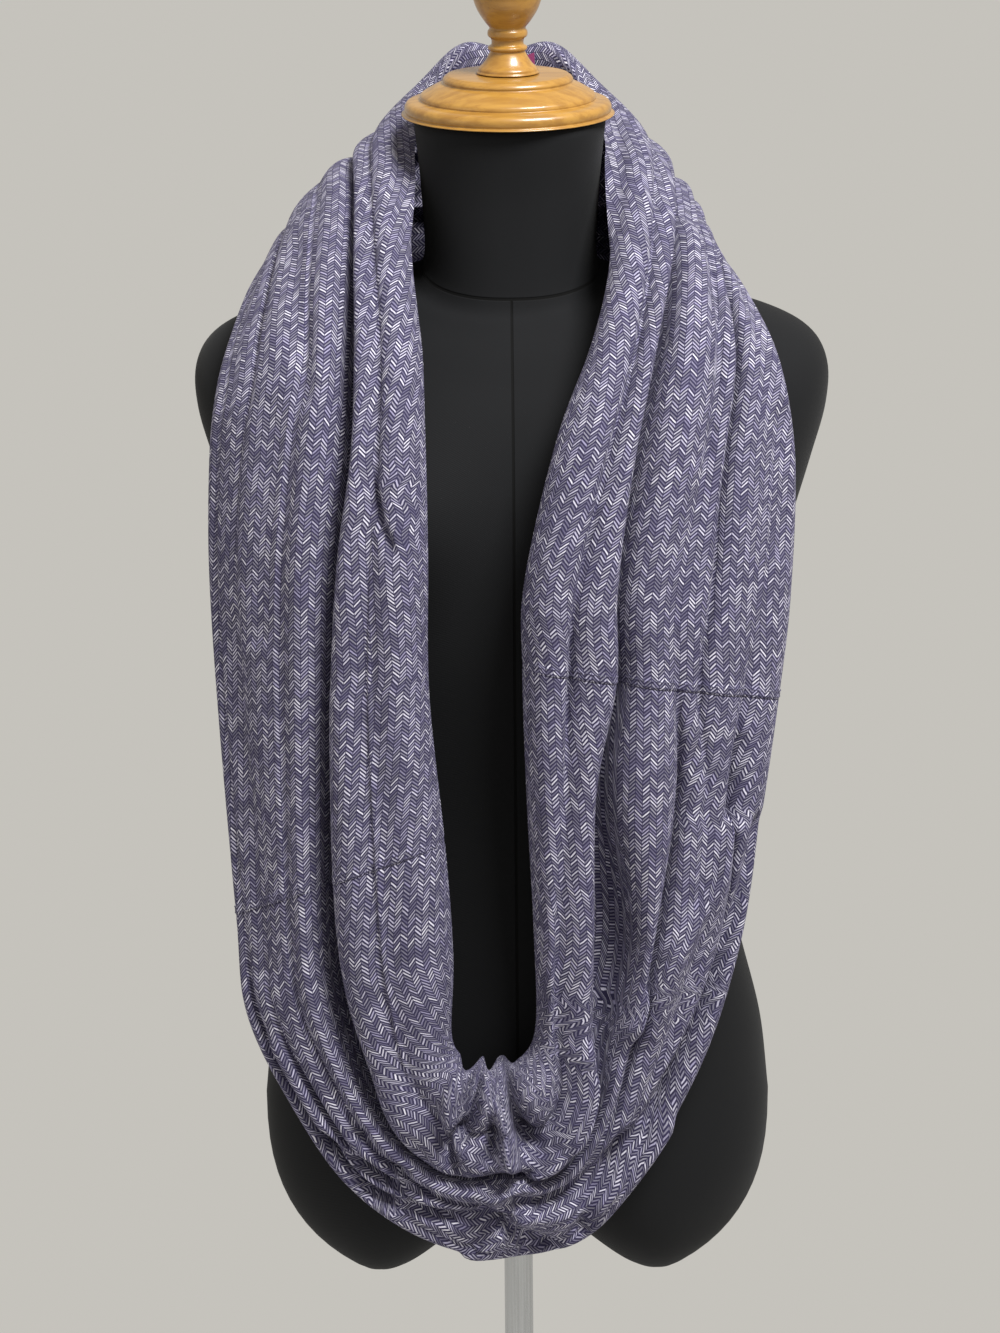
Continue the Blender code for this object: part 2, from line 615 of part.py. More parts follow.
# ------------------------------------------------------------------ assembly
def build():
    clear_scene()
    group = new_collection("infinity_scarf")
    new_collection("cutters").hide_render = True
    knit = material("heather_knit", (0.16, 0.15, 0.23), 0.9)
    tab = material("label_tape", (0.30, 0.03, 0.16), 0.7)
    cover = material("form_twill", (0.012, 0.012, 0.014), 0.85)
    wood = material("varnished_wood", (0.55, 0.27, 0.08), 0.3)
    steel = material("pole_steel", (0.55, 0.56, 0.57), 0.3, 1.0)
    paint = material("base_paint", (0.03, 0.03, 0.032), 0.5)

    body = mesh_object("torso_form", *body_mesh(), group, cover)
    cap = turned("neck_cap", CAP_PROFILE, CAP_STEPS, group, wood)
    knob = turned("finial", FINIAL_PROFILE, FINIAL_STEPS, group, wood)
    lean = Matrix.Rotation(CAP_TILT, 4, "X")
    axis = lean @ Vector((0.0, 0.0, 1.0))
    for thing, lift in ((cap, CAP_GAP), (knob, 2.0 * CAP_GAP)):
        thing.matrix_world = Matrix.Translation(CAP_FOOT + axis * lift) @ lean
    turned("base_plate", ((0.0, BASE_THICK / MM), ((BASE_RADIUS - BASE_BEVEL) / MM, BASE_THICK / MM),
                          (BASE_RADIUS / MM, (BASE_THICK - BASE_BEVEL) / MM), (BASE_RADIUS / MM, 0.0),
                          (0.0, 0.0)), ROUND_STEPS, group, paint)
    foot = BASE_THICK + CAP_GAP
    turned("pole", ((0.0, POLE_TOP / MM), (POLE_RADIUS / MM, POLE_TOP / MM),
                    (POLE_RADIUS / MM, foot / MM), (0.0, foot / MM)), FINIAL_STEPS, group, steel)

    clear_of = surface_tree([body, cap])
    names = [row[0] for row in STRIP]
    left, right = names.index("seam_l"), names.index("seam_r")
    cloth_solid("scarf_lower_length", left, right, clear_of, group, knit)
    cloth_solid("scarf_upper_length", right - len(names), left, clear_of, group, knit)
    label_solid(group, tab)


build()
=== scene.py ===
"""Looks for the infinity scarf on its dress form.

The scarf is one knit strip in a loop of two lengths.  Its surface is worked
out from sections across the strip (STRIP), the gaps between its soft rolls
(FOLDS) and listed creases (CREASES), then held clear of the form.
Tables are in millimetres; Blender's own units are metres.
"""

from collections import namedtuple

import bmesh
import bpy
import numpy as np
from math import cos, exp, pi, radians, sin, tan
from mathutils import Matrix, Vector
from mathutils.bvhtree import BVHTree


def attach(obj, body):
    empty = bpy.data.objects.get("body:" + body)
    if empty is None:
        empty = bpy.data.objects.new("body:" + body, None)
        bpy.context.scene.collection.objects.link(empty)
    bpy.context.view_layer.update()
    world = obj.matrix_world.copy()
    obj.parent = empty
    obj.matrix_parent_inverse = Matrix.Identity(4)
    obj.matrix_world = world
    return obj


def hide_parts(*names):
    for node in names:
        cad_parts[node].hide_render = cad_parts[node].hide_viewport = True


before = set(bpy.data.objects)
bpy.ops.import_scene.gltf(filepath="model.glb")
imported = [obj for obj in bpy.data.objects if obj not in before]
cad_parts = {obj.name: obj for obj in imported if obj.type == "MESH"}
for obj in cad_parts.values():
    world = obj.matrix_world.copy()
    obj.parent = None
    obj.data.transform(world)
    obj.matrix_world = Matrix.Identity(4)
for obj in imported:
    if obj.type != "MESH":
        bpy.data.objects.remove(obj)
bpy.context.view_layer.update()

MM = 0.001

# ---------------------------------------------------------------- dress form
BODY_FULLNESS = 2.35
# Neck and shoulders, from the neck seam's top down, in millimetres.  The height
# of a section differs at its front, its sides and its back.
SHOULDER_SECTIONS = (
    # name          z_front z_side z_back half_width y_front y_back
    ("neck",        1398, 1415, 1434,  56, -62, 50),
    ("neck_seam",   1343, 1368, 1390,  56, -57, 60),
    ("collar",      1326, 1359, 1372,  78, -64, 74),
    ("slope",       1308, 1351, 1350, 120, -76, 86),
    ("slope_end",   1291, 1341, 1326, 162, -85, 92),
    ("cap_top",     1277, 1327, 1304, 189, -92, 94),
    ("cap_widest",  1264, 1307, 1284, 200, -97, 94),
    ("cap_round",   1250, 1280, 1262, 199, -101, 93),
    ("arm_plate",   1234, 1248, 1238, 190, -104, 91),
    ("armpit",      1213, 1216, 1213, 180, -106, 89),
)
# The trunk eases from one girth to the next, in millimetres.
Girth = namedtuple("Girth", "height half_width y_front y_back")
BUST = Girth(1180.0, 168.0, -106.0, 86.0)
WAIST = Girth(1030.0, 129.0, -89.0, 80.0)
HIP = Girth(830.0, 166.0, -93.0, 107.0)
TRUNK_STEP = 50.0            # height between the trunk's sections
NECK_TOP_HALF, NECK_TOP_FRONT, NECK_TOP_BACK = 60.0, -73.0, 43.0
BUST_X, BUST_Z, BUST_OUT, BUST_SPREAD = 82.0, 1208.0, 24.0, 48.0
CROTCH_DROP, LOBE_DROP, LOBE_X, LOBE_CURVE = 66.0, 134.0, 104.0, 2.6
CAP_FOOT = Vector((-0.001, -0.015, 1.459))
CAP_TILT = radians(16.0)
NECK_TOP_SINK = 0.5
BODY_CORNERS = 144
BODY_STEPS = 7               # rings from one section to the next
LOBE_RINGS = 24
NECK_SEAM_ROW = 2

# --------------------------------------------------------------------- scarf
# The loop in front view, in millimetres.  Two strands hang beside the middle
# line and join below in a half ring round an open eye.
NECK_HALF = 72.0             # inner edge beside the neck, from the middle line
NECK_DEEP = 74.0             # reach of the inner edge behind NECK_Y
NECK_Y = 12.0
SHOULDER_CURVE = 2.5         # how late the outer edges widen below the shoulders
HIP_CURVE = 1.5              # how late they draw in again towards the hips
INNER_LOW = (1110.0, 960.0)  # heights between which the inner edges ease to the eye
BELLY_Z = 1190.0             # where the inner edges stand out the most
BELLY_OUT = 160.0
BELLY_RISE = 152.0           # how far they fall back over BELLY_SPAN above it
BELLY_SPAN = 258.0
EYE_OUT = 140.0              # how far they stand out at the eye's foot
SIDE_OUT = 86.0              # the outer edges' distance in front of the middle
HEM_OUT = 122.0              # the same at the hem
SIDE_LOW_Z = 1090.0          # below this they come forward to the hem
HEM_FORWARD = 1.3
EYE_X, EYE_Z, EYE_RADIUS = -15.0, 908.0, 30.0
HEM_X, HEM_Z, HEM_RADIUS = -20.0, 888.0, 131.0
HEM_FLAT = 10.0              # how much the hem is cut in at HEM_FLAT_AT
HEM_FLAT_AT = 228.0
HEM_FLAT_SHARP = 4           # higher keeps the cut nearer to HEM_FLAT_AT
# Across sizes of each strand (distances from the middle line), the heights of its
# outer edge's top, widest place and hip, the heights between which its inner edge
# leaves the neck, and those between which its outer edge comes over the shoulder.
Strand = namedtuple("Strand", "side inner inner_hip outer_top outer outer_hip "
                              "top_z widest_z hip_z leave over")
LEFT = Strand(-1, 58, 43, 163, 185, 167, 1350, 1190, 908, (1440, 1300), (1355, 1285))
RIGHT = Strand(1, 10, 15, 136, 172, 138, 1358, 1210, 948, (1430, 1150), (1370, 1310))
# Sections behind the neck and over the shoulders, the same on both sides:
# degrees round the neck from the nape, height of the inner edge, then the outer
# edge as a share of the strand's width on the shoulder, its depth, and its drop
# below the top of the strand's outer edge.
BACK_SECTIONS = (
    # name       turn  inner_z share outer_y drop  bow  under: inner, outer
    ("nape",     0,    1512,   0.0,  120,    52,   12,  1.0, 1.0),
    ("back",     27,   1516,   0.38, 118,    56,   12,  1.0, 1.0),
    ("scapula",  54,   1485,   0.73, 110,    38,   16,  0.6, 0.6),
    ("neck",     90,   1455,   0.93, 58,     -9,   12,  0.0, 0.0),
)
# Sections down the front: the heights at which each meets its two edges.
FRONT_SECTIONS = (
    # name         strand inner_z outer_z  bow  under: inner, outer
    ("collar_l",   LEFT,  1420,   1350,    10,  0.0, 0.0),
    ("clavicle_l", LEFT,  1370,   1310,    10,  0.4, 0.0),
    ("chest_l",    LEFT,  1315,   1280,    12,  1.0, 0.1),
    ("bust_l",     LEFT,  1255,   1245,    12,  1.0, 0.5),
    ("rib_l",      LEFT,  1190,   1180,    14,  1.0, 1.0),
    ("waist_l",    LEFT,  1110,   1090,    14,  1.0, 1.0),
    ("seam_l",     LEFT,  1020,   970,     14,  1.0, 1.0),
    ("hip_l",      LEFT,  950,    910,     12,  1.0, 1.0),
    ("hip_r",      RIGHT, 965,    948,     12,  1.0, 1.0),
    ("waist_r",    RIGHT, 1050,   1035,    14,  1.0, 1.0),
    ("seam_r",     RIGHT, 1125,   1100,    14,  1.0, 1.0),
    ("rib_r",      RIGHT, 1175,   1165,    14,  1.0, 1.0),
    ("bust_r",     RIGHT, 1255,   1245,    12,  1.0, 0.5),
    ("chest_r",    RIGHT, 1315,   1300,    10,  1.0, 0.0),
    ("clavicle_r", RIGHT, 1370,   1335,    8,   0.3, 0.0),
    ("collar_r",   RIGHT, 1420,   1362,    8,   0.0, 0.0),
)
# Sections round the half ring, by their angle.
RING_SECTIONS = (
    # name       degrees bow
    ("turn_l",   195.0,  10),
    ("under_l",  225.0,  8),
    ("low_l",    253.0,  8),
    ("low_r",    277.0,  8),
    ("under_r",  303.0,  8),
    ("turn_r",   350.0,  10),
)
# For each gap: where it lies across the strip and its depth below the rolls;
# then how wide the second gap stands open.
FOLDS = (
    # name         gap1        gap2        gap3        gap4        gap5        open
    ("nape",       (0.14, 9),  (0.34, 4),  (0.50, 15), (0.70, 5),  (0.86, 9),  2),
    ("scapula_l",  (0.14, 6),  (0.28, 12), (0.47, 3),  (0.66, 7),  (0.86, 1),  2),
    ("collar_l",   (0.12, 3),  (0.24, 18), (0.46, 0),  (0.72, 5),  (0.88, 0),  3),
    ("chest_l",    (0.14, 5),  (0.30, 40), (0.50, 0),  (0.75, 3),  (0.89, 0),  7),
    ("bust_l",     (0.14, 6),  (0.30, 46), (0.54, 0),  (0.78, 1),  (0.90, 0),  7),
    ("waist_l",    (0.17, 1),  (0.40, 38), (0.60, 0),  (0.80, 0),  (0.91, 0),  4),
    ("seam_l",     (0.22, 0),  (0.50, 42), (0.68, 0),  (0.82, 0),  (0.92, 1),  7),
    ("hip_l",      (0.24, 1),  (0.52, 48), (0.70, 0),  (0.82, 2),  (0.92, 6),  9),
    ("turn_l",     (0.22, 2),  (0.50, 40), (0.66, 3),  (0.79, 9),  (0.90, 10), 9),
    ("under_l",    (0.26, 6),  (0.55, 20), (0.68, 7),  (0.79, 8),  (0.88, 9),  2),
    ("low_l",      (0.30, 8),  (0.58, 22), (0.70, 7),  (0.80, 3),  (0.90, 1),  2),
    ("low_r",      (0.26, 8),  (0.51, 24), (0.66, 3),  (0.78, 1),  (0.90, 0),  2),
    ("under_r",    (0.30, 10), (0.54, 26), (0.66, 2),  (0.78, 2),  (0.90, 0),  3),
    ("turn_r",     (0.08, 4),  (0.36, 44), (0.52, 14), (0.68, 4),  (0.82, 14), 10),
    ("hip_r",      (0.06, 3),  (0.34, 52), (0.52, 20), (0.70, 3),  (0.87, 12), 24),
    ("waist_r",    (0.10, 4),  (0.27, 44), (0.57, 16), (0.68, 2),  (0.80, 12), 10),
    ("seam_r",     (0.13, 12), (0.32, 34), (0.52, 3),  (0.61, 6),  (0.80, 6),  4),
    ("rib_r",      (0.14, 8),  (0.30, 32), (0.50, 1),  (0.63, 9),  (0.82, 1),  3),
    ("bust_r",     (0.17, 9),  (0.30, 40), (0.56, 4),  (0.65, 14), (0.84, 1),  5),
    ("chest_r",    (0.20, 10), (0.33, 38), (0.62, 5),  (0.73, 14), (0.87, 1),  5),
    ("collar_r",   (0.20, 5),  (0.42, 22), (0.64, 4),  (0.77, 9),  (0.89, 1),  3),
    ("scapula_r",  (0.16, 7),  (0.32, 4),  (0.50, 12), (0.68, 4),  (0.86, 8),  2),
)
GATHERS = 5
TURN_DEPTH, TUCK_DEPTH, TUCK_WIDTH = 13.0, 25.0, 24.0
CREST_PER_WIDTH, CREST_MOST, CREST_LEAST = 0.16, 13.0, 3.0
ROLL_STEPS = (30, 34, 34, 22, 24, 24)
EDGE_STEPS = 9
STEP_ALONG = 2.4
CLEAR = 2.0
SQUARE_ON = 0.6              # least cosine to a face's normal for a point to count as behind it

# Creases, listed one by one.  A route is a few (place, share across) stops; places
# count sections from the nape: 7 bust_l, 9 waist_l, 10 seam_l, 12 turn_l,
# 14 low_l, 16 under_r, 18 hip_r, 20 seam_r, 22 bust_r, 26 neck_r.  Depth is
# negative for a trough; half is the crease's half width.
CREASES = (
    # kind     depth  half  route
    # gathers round the eye
    ("ridge",  15.0,  5.5, ((13.2, -0.16), (13.5, 0.15), (13.9, 0.32))),
    ("trough", -16.0, 4.2, ((13.9, -0.16), (14.0, 0.20), (13.9, 0.40))),
    ("trough", -14.0, 3.6, ((13.5, 0.30), (14.0, 0.46), (14.3, 0.55))),
    ("ridge",  15.0,  5.5, ((14.4, -0.16), (15.0, 0.26), (15.2, 0.50))),
    ("lap",    12.0, 14.0, ((17.0, 0.30), (16.2, 0.40), (15.2, 0.52), (14.4, 0.60))),
    ("trough", -15.0, 4.0, ((14.7, -0.14), (14.8, 0.30), (14.6, 0.45))),
    ("trough", -18.0, 5.5, ((15.0, -0.14), (15.4, 0.22), (15.7, 0.44))),
    ("ridge",   9.0,  9.0, ((17.2, 0.22), (16.6, 0.36), (16.0, 0.47))),
    # the outer bundle at the bottom
    ("lap",     9.0, 16.0, ((15.3, 0.60), (14.8, 0.80), (14.3, 1.02))),
    ("trough", -3.0,  5.0, ((15.1, 0.66), (14.6, 0.94))),
    ("trough", -5.0,  4.0, ((14.7, 0.64), (15.2, 0.58), (15.6, 0.60))),
    ("ridge",   8.0,  9.0, ((16.8, 0.96), (15.8, 0.80), (15.0, 0.60))),
    ("trough", -10.0, 5.0, ((16.6, 0.72), (15.6, 0.66), (14.9, 0.60))),
    ("trough", -9.0,  5.0, ((15.6, 0.98), (15.1, 0.80), (14.5, 0.64))),
    # diagonals on the lower left
    ("trough", -10.0, 4.0, ((12.3, 0.90), (13.0, 0.80), (13.7, 0.74))),
    ("trough", -9.0,  4.0, ((12.9, 0.93), (13.8, 0.82), (14.8, 0.70))),
    ("trough", -4.0,  4.0, ((12.5, 0.75), (12.8, 0.60))),
    ("trough", -6.0,  3.5, ((13.0, 0.72), (13.6, 0.62))),
    ("trough", -4.0,  3.5, ((13.1, 0.44), (13.8, 0.55))),
    ("trough", -5.0,  3.5, ((13.3, 0.76), (13.9, 0.68))),
    ("lap",     5.0, 14.0, ((11.2, 0.93), (12.0, 0.90), (13.0, 0.86))),
    # diagonals on the right strand
    ("lap",    11.0, 16.0, ((19.0, 0.79), (18.5, 0.74), (18.0, 0.57), (17.2, 0.40))),
    ("trough", -10.0, 5.0, ((19.0, 0.95), (18.0, 0.90), (17.0, 0.79), (16.0, 0.76), (15.7, 0.95))),
    ("trough", -4.0,  5.0, ((19.6, 0.61), (18.8, 0.57))),
    ("trough", -3.0,  5.0, ((19.7, 0.82), (18.8, 0.79))),
    ("trough", -3.0,  6.0, ((22.6, 0.92), (21.2, 0.90))),
    # inner roll and broad panel of the left strand
    ("trough", -6.0,  2.5, ((7.2, 0.17), (7.6, 0.12), (8.0, 0.05))),
    ("trough", -2.5, 12.0, ((6.2, 0.62), (7.4, 0.60), (8.6, 0.66))),
    ("trough", -2.5, 10.0, ((8.2, 0.84), (9.6, 0.80), (10.8, 0.84))),
    ("trough", -3.5,  8.0, ((4.2, 0.55), (5.6, 0.50), (6.6, 0.44))),
    ("ridge",   2.5,  9.0, ((8.8, 0.28), (10.0, 0.30), (11.2, 0.30))),
    # behind the neck and over the shoulders
    ("trough", -7.0,  7.0, ((-0.6, 0.30), (0.8, 0.38), (2.4, 0.46))),
    ("trough", -6.0,  6.0, ((1.2, 0.60), (0.2, 0.66), (-1.6, 0.58))),
    ("ridge",   5.0,  8.0, ((-2.2, 0.26), (-0.8, 0.48), (0.6, 0.56))),
    ("trough", -5.0,  6.0, ((2.0, 0.80), (0.4, 0.88), (-1.2, 0.82))),
    ("trough", -5.0,  5.0, ((-4.4, 0.52), (-3.4, 0.46), (-2.4, 0.40))),
)
SEAM_ROWS = (0.0, 0.5, 1.0, 1.7, 2.6, 3.7, 4.9, 5.9)     # rows beside a seam, millimetres from it
SEAM_REACH = 7.2
SEAM_BAND, SEAM_LIFT, SEAM_GROOVE, GROOVE_HALF = 5.4, 0.7, 0.5, 0.7
STITCH_PITCH, STITCH_LONG, STITCH_THICK, STITCH_SIDES = 2.7, 1.9, 0.30, 5
STITCH_LINES = (1.3, 4.6)    # stitch rows above a seam, millimetres from it
SETTLE_PLACES, SETTLE_ROUNDS = 5.0, 12     # rows this near the nape are evened along the strip
FADE_LENGTH = 14.0           # a crease dies out over this much of each end
LAP_EDGE = 1.6               # a lap's step up, across
def ease(share):
    """Smooth step from 0 to 1."""
    share = min(max(share, 0.0), 1.0)
    return share * share * (3.0 - 2.0 * share)


def cap_plane(y):
    """Height of the neck's sloping end at one depth, millimetres."""
    return CAP_FOOT.z / MM + (y - CAP_FOOT.y / MM) * tan(CAP_TILT) - NECK_TOP_SINK


def body_sections():
    """Rows of (z_front, z_side, z_back, half_width, y_front, y_back), top down."""
    middle = 0.5 * (NECK_TOP_FRONT + NECK_TOP_BACK)
    rows = [(cap_plane(NECK_TOP_FRONT), cap_plane(middle), cap_plane(NECK_TOP_BACK),
             NECK_TOP_HALF, NECK_TOP_FRONT, NECK_TOP_BACK)]
    rows += [row[1:] for row in SHOULDER_SECTIONS]
    height = BUST.height
    while height >= HIP.height:
        above, below = (BUST, WAIST) if height > WAIST.height else (WAIST, HIP)
        part = ease((above.height - height) / (above.height - below.height))
        sizes = [start + (end - start) * part for start, end in zip(above[1:], below[1:])]
        rows.append((height, height, height, *sizes))
        height -= TRUNK_STEP
    return rows


def between(height, heights):
    """Eased share of the way down from the first height to the second."""
    return ease((heights[0] - height) / (heights[0] - heights[1]))


def inner_edge(strand, z):
    x = NECK_HALF + (strand.inner - NECK_HALF) * between(z, strand.leave)
    x += (strand.inner_hip - strand.inner) * between(z, INNER_LOW)
    if z > BELLY_Z:
        y = BELLY_RISE * ((z - BELLY_Z) / BELLY_SPAN) ** 2 - BELLY_OUT
    else:
        foot = EYE_Z - EYE_RADIUS
        y = (BELLY_OUT - EYE_OUT) * (BELLY_Z - z) / (BELLY_Z - foot) - BELLY_OUT
    return Vector((strand.side * x, y, z))


def outer_y(strand, z):
    low = max((SIDE_LOW_Z - z) / (SIDE_LOW_Z - HEM_Z + HEM_RADIUS), 0.0) ** HEM_FORWARD
    return -SIDE_OUT * between(z, strand.over) - (HEM_OUT - SIDE_OUT) * low


def outer_edge(strand, z):
    if z > strand.widest_z:
        part = ((z - strand.widest_z) / (strand.top_z - strand.widest_z)) ** SHOULDER_CURVE
        x = strand.outer + (strand.outer_top - strand.outer) * part
    else:
        part = ((strand.widest_z - z) / (strand.widest_z - strand.hip_z)) ** HIP_CURVE
        x = strand.outer + (strand.outer_hip - strand.outer) * part
    return Vector((strand.side * x, outer_y(strand, z), z))


def back_section(strand, row):
    name, turn, inner_z, share, y, drop, *rest = row
    angle = radians(turn)
    inner = Vector((strand.side * NECK_HALF * sin(angle), NECK_Y + NECK_DEEP * cos(angle), inner_z))
    outer = Vector((strand.side * strand.outer_top * share, y, strand.top_z - drop))
    return name, inner, outer, *rest


def ring_section(row):
    name, degrees, bow = row
    angle = radians(degrees)
    flat = max(cos(radians(degrees - HEM_FLAT_AT)), 0.0) ** HEM_FLAT_SHARP
    radius = HEM_RADIUS - HEM_FLAT * flat
    x, z = HEM_X + radius * cos(angle), HEM_Z + radius * sin(angle)
    inner = Vector((EYE_X + EYE_RADIUS * cos(angle), -EYE_OUT, EYE_Z + EYE_RADIUS * sin(angle)))
    outer = Vector((x, outer_y(LEFT, z), z))     # this low, both strands are as deep
    return name, inner, outer, bow, 1.0, 1.0


def strip_sections():
    """Rows of (name, inner edge, outer edge, bow, under inner, under outer).

    They go from the nape round the left strand (at -X), the half ring and the
    right strand, back to the nape.
    """
    nape, *side = BACK_SECTIONS
    front = [(name, inner_edge(strand, high), outer_edge(strand, low), *rest)
             for name, strand, high, low, *rest in FRONT_SECTIONS]
    names = [row[0] for row in front]
    split = names.index("hip_r")
    left = [back_section(LEFT, (row[0] + "_l", *row[1:])) for row in side]
    right = [back_section(RIGHT, (row[0] + "_r", *row[1:])) for row in reversed(side)]
    ring = [ring_section(row) for row in RING_SECTIONS]
    return [back_section(LEFT, nape)] + left + front[:split] + ring + front[split:] + right


STRIP = strip_sections()
NAMES = [row[0] for row in STRIP]
COUNT = len(STRIP)
BODY_SECTIONS = np.array(body_sections(), float)


def closed_curve(values, places):
    """Smooth values of a closed table at fractional places."""
    start = np.floor(places).astype(int)
    part = (places - start)[:, None]
    a, b, c, d = (values[(start + shift) % COUNT] for shift in (-1, 0, 1, 2))
    return 0.5 * (2 * b + (c - a) * part + (2 * a - 5 * b + 4 * c - d) * part ** 2
                  + (3 * b - a - 3 * c + d) * part ** 3)


def fold_values():
    """Fold numbers at every section, filled in between the named rows."""
    known = [NAMES.index(row[0]) for row in FOLDS] + [COUNT]
    flat = [[n for pair in row[1:-1] for n in pair] + [row[-1]] for row in FOLDS]
    flat = np.array(flat + [flat[0]], float)
    return np.stack([np.interp(range(COUNT), known, column) for column in flat.T], 1)


INNER = np.array([row[1] for row in STRIP], float)
OUTER = np.array([row[2] for row in STRIP], float)
SHAPE = np.array([row[3:] for row in STRIP], float)
FOLD_VALUES = fold_values()


def even_places(start, end, step):
    """Places between two sections, evenly spaced along the strip's middle."""
    fine = np.linspace(start, end, 2000)
    middle = closed_curve(0.5 * (INNER + OUTER), fine)
    run = np.concatenate(([0.0], np.cumsum(np.linalg.norm(np.diff(middle, axis=0), axis=1))))
    count = int(round((run[-1] - 2.0 * SEAM_REACH) / step)) + 1
    middle_runs = np.linspace(SEAM_REACH, run[-1] - SEAM_REACH, count)
    near = np.array(SEAM_ROWS)
    runs = np.concatenate((near, middle_runs, run[-1] - near[::-1]))
    return np.interp(runs, run, fine), runs


def edge_rows(under, width):
    """Turn depth and the rolled edge's (share, height) points, cut edge first."""
    under = np.clip(under, 0.0, 1.0)
    flat = 1.0 - under
    turn = TURN_DEPTH * (0.35 + 0.65 * under)
    tuck = TUCK_DEPTH - TURN_DEPTH
    points = []
    for step in range(EDGE_STEPS):
        angle = 0.5 * pi * step / EDGE_STEPS
        roll_share = (TUCK_WIDTH * (1.0 - sin(angle))) * under
        roll_height = tuck * (cos(angle) ** 0.6) * under
        drop = 6.0 * (1.0 - step / EDGE_STEPS) * flat
        points.append(((roll_share - drop) / width, -turn - roll_height - drop))
    return turn, points


def profiles(places, width):
    """(share, height) arrays, one row per place, and which roll each point is on."""
    values = closed_curve(FOLD_VALUES, places)
    shape = closed_curve(SHAPE, places)
    turn_in, edge_in = edge_rows(shape[:, 1], width)
    turn_out, edge_out = edge_rows(shape[:, 2], width)
    zero = np.zeros(len(places))
    at = [zero] + [values[:, 2 * g] for g in range(GATHERS)] + [zero + 1.0]
    deep = [values[:, 2 * g + 1] for g in range(GATHERS)]
    crest = [np.clip(CREST_PER_WIDTH * (b - a) * width + CREST_LEAST, 0.0, CREST_MOST)
             for a, b in zip(at[:-1], at[1:])]
    floor = [-turn_in] + [np.minimum(crest[g], crest[g + 1]) - deep[g] for g in range(GATHERS)] + [-turn_out]
    tight = [zero + 0.8] + [1.0 - 0.5 * np.clip(d / 30.0, 0.0, 1.0) for d in deep] + [zero + 0.8]
    half_open = [zero] + [1.0 / width] * GATHERS + [zero]
    half_open[2] = 0.5 * values[:, -1] / width
    share = [s for s, h in edge_in]
    height = [h for s, h in edge_in]
    roll_of = [0] * EDGE_STEPS
    for roll in range(GATHERS + 1):
        start, end = at[roll] + half_open[roll], at[roll + 1] - half_open[roll + 1]
        for step in range(ROLL_STEPS[roll] + 1):
            part = step / ROLL_STEPS[roll]
            angle = pi * part
            base = floor[roll] * (1 - part) + floor[roll + 1] * part
            power = tight[roll] * (1 - part) + tight[roll + 1] * part
            share.append(start + (end - start) * 0.5 * (1.0 - cos(angle)))
            height.append(base + (crest[roll] - base) * max(sin(angle), 0.0) ** power)
            roll_of.append(roll)
    share += [1.0 - s for s, h in reversed(edge_out)]
    height += [h for s, h in reversed(edge_out)]
    roll_of += [GATHERS] * EDGE_STEPS
    return np.stack(share, 1), np.stack(height, 1), np.array(roll_of)


def soften(grid, rounds):
    """Evens neighbouring points across the strip, its two edges held."""
    for _ in range(rounds):
        grid[:, 1:-1] = 0.25 * grid[:, :-2] + 0.5 * grid[:, 1:-1] + 0.25 * grid[:, 2:]
    return grid


def crease_lift(base, out):
    """Height added by the listed creases to points of the flat base surface."""
    lift = np.zeros(base.shape[:2])
    for kind, depth, half, route in CREASES:
        stops = np.array(route)
        fine = np.linspace(0, len(stops) - 1, 8 * (len(stops) - 1) + 1)
        place = np.interp(fine, range(len(stops)), stops[:, 0])
        share = np.interp(fine, range(len(stops)), stops[:, 1])[:, None]
        line = closed_curve(INNER, place) * (1.0 - share) + closed_curve(OUTER, place) * share
        steps = np.diff(line, axis=0)
        lengths = np.linalg.norm(steps, axis=1)
        runs = np.concatenate(([0.0], np.cumsum(lengths)))
        nearest = np.full(base.shape[:2], np.inf)
        along = np.zeros(base.shape[:2])
        side = np.zeros(base.shape[:2])
        for start, step, length, run in zip(line[:-1], steps, lengths, runs):
            reach = base - start
            part = np.clip(reach @ step / length ** 2, 0.0, 1.0)
            away = reach - part[..., None] * step
            gap = np.linalg.norm(away, axis=-1)
            closer = gap < nearest
            nearest = np.where(closer, gap, nearest)
            along = np.where(closer, run + part * length, along)
            facing = np.broadcast_to(out[:, None], away.shape)
            turn = np.einsum("ijk,ijk->ij", np.cross(step / length, away), facing)
            side = np.where(closer, turn, side)
        fade_over = min(FADE_LENGTH, 0.5 * runs[-1])
        fade = np.clip(np.minimum(along, runs[-1] - along) / fade_over, 0.0, 1.0)
        fade = fade * fade * (3.0 - 2.0 * fade)
        if kind == "lap":
            up = np.clip(side / LAP_EDGE + 0.5, 0.0, 1.0)
            lift += depth * fade * up * np.exp(-(nearest / half) ** 2)
        else:
            lift += depth * fade * np.exp(-(nearest / half) ** 2)
    return lift


def seam_relief(runs, band):
    """Lift of the sewn band and its groove along each end of a length."""
    away = np.minimum(runs, runs[-1] - runs)
    lift = band * SEAM_LIFT * np.clip((SEAM_BAND - away) / 0.8 + 0.5, 0.0, 1.0)
    return lift - SEAM_GROOVE * np.exp(-(away / GROOVE_HALF) ** 2)


def lift_clear(points, clear_of):
    """Moves points (metres) off the form and its cap, out to CLEAR from them."""
    flat_points = points.reshape(-1, 3)
    for index, point in enumerate(flat_points):
        near, normal, _, gap = clear_of.find_nearest(Vector(point))
        away = Vector(point) - near
        if away.dot(normal) < -SQUARE_ON * gap:
            flat_points[index] = near + normal * CLEAR * MM          # inside the solid
        elif 0.0 < gap < CLEAR * MM:
            flat_points[index] = near + away * (CLEAR * MM / gap)    # outside, but too near
    return flat_points.reshape(points.shape)


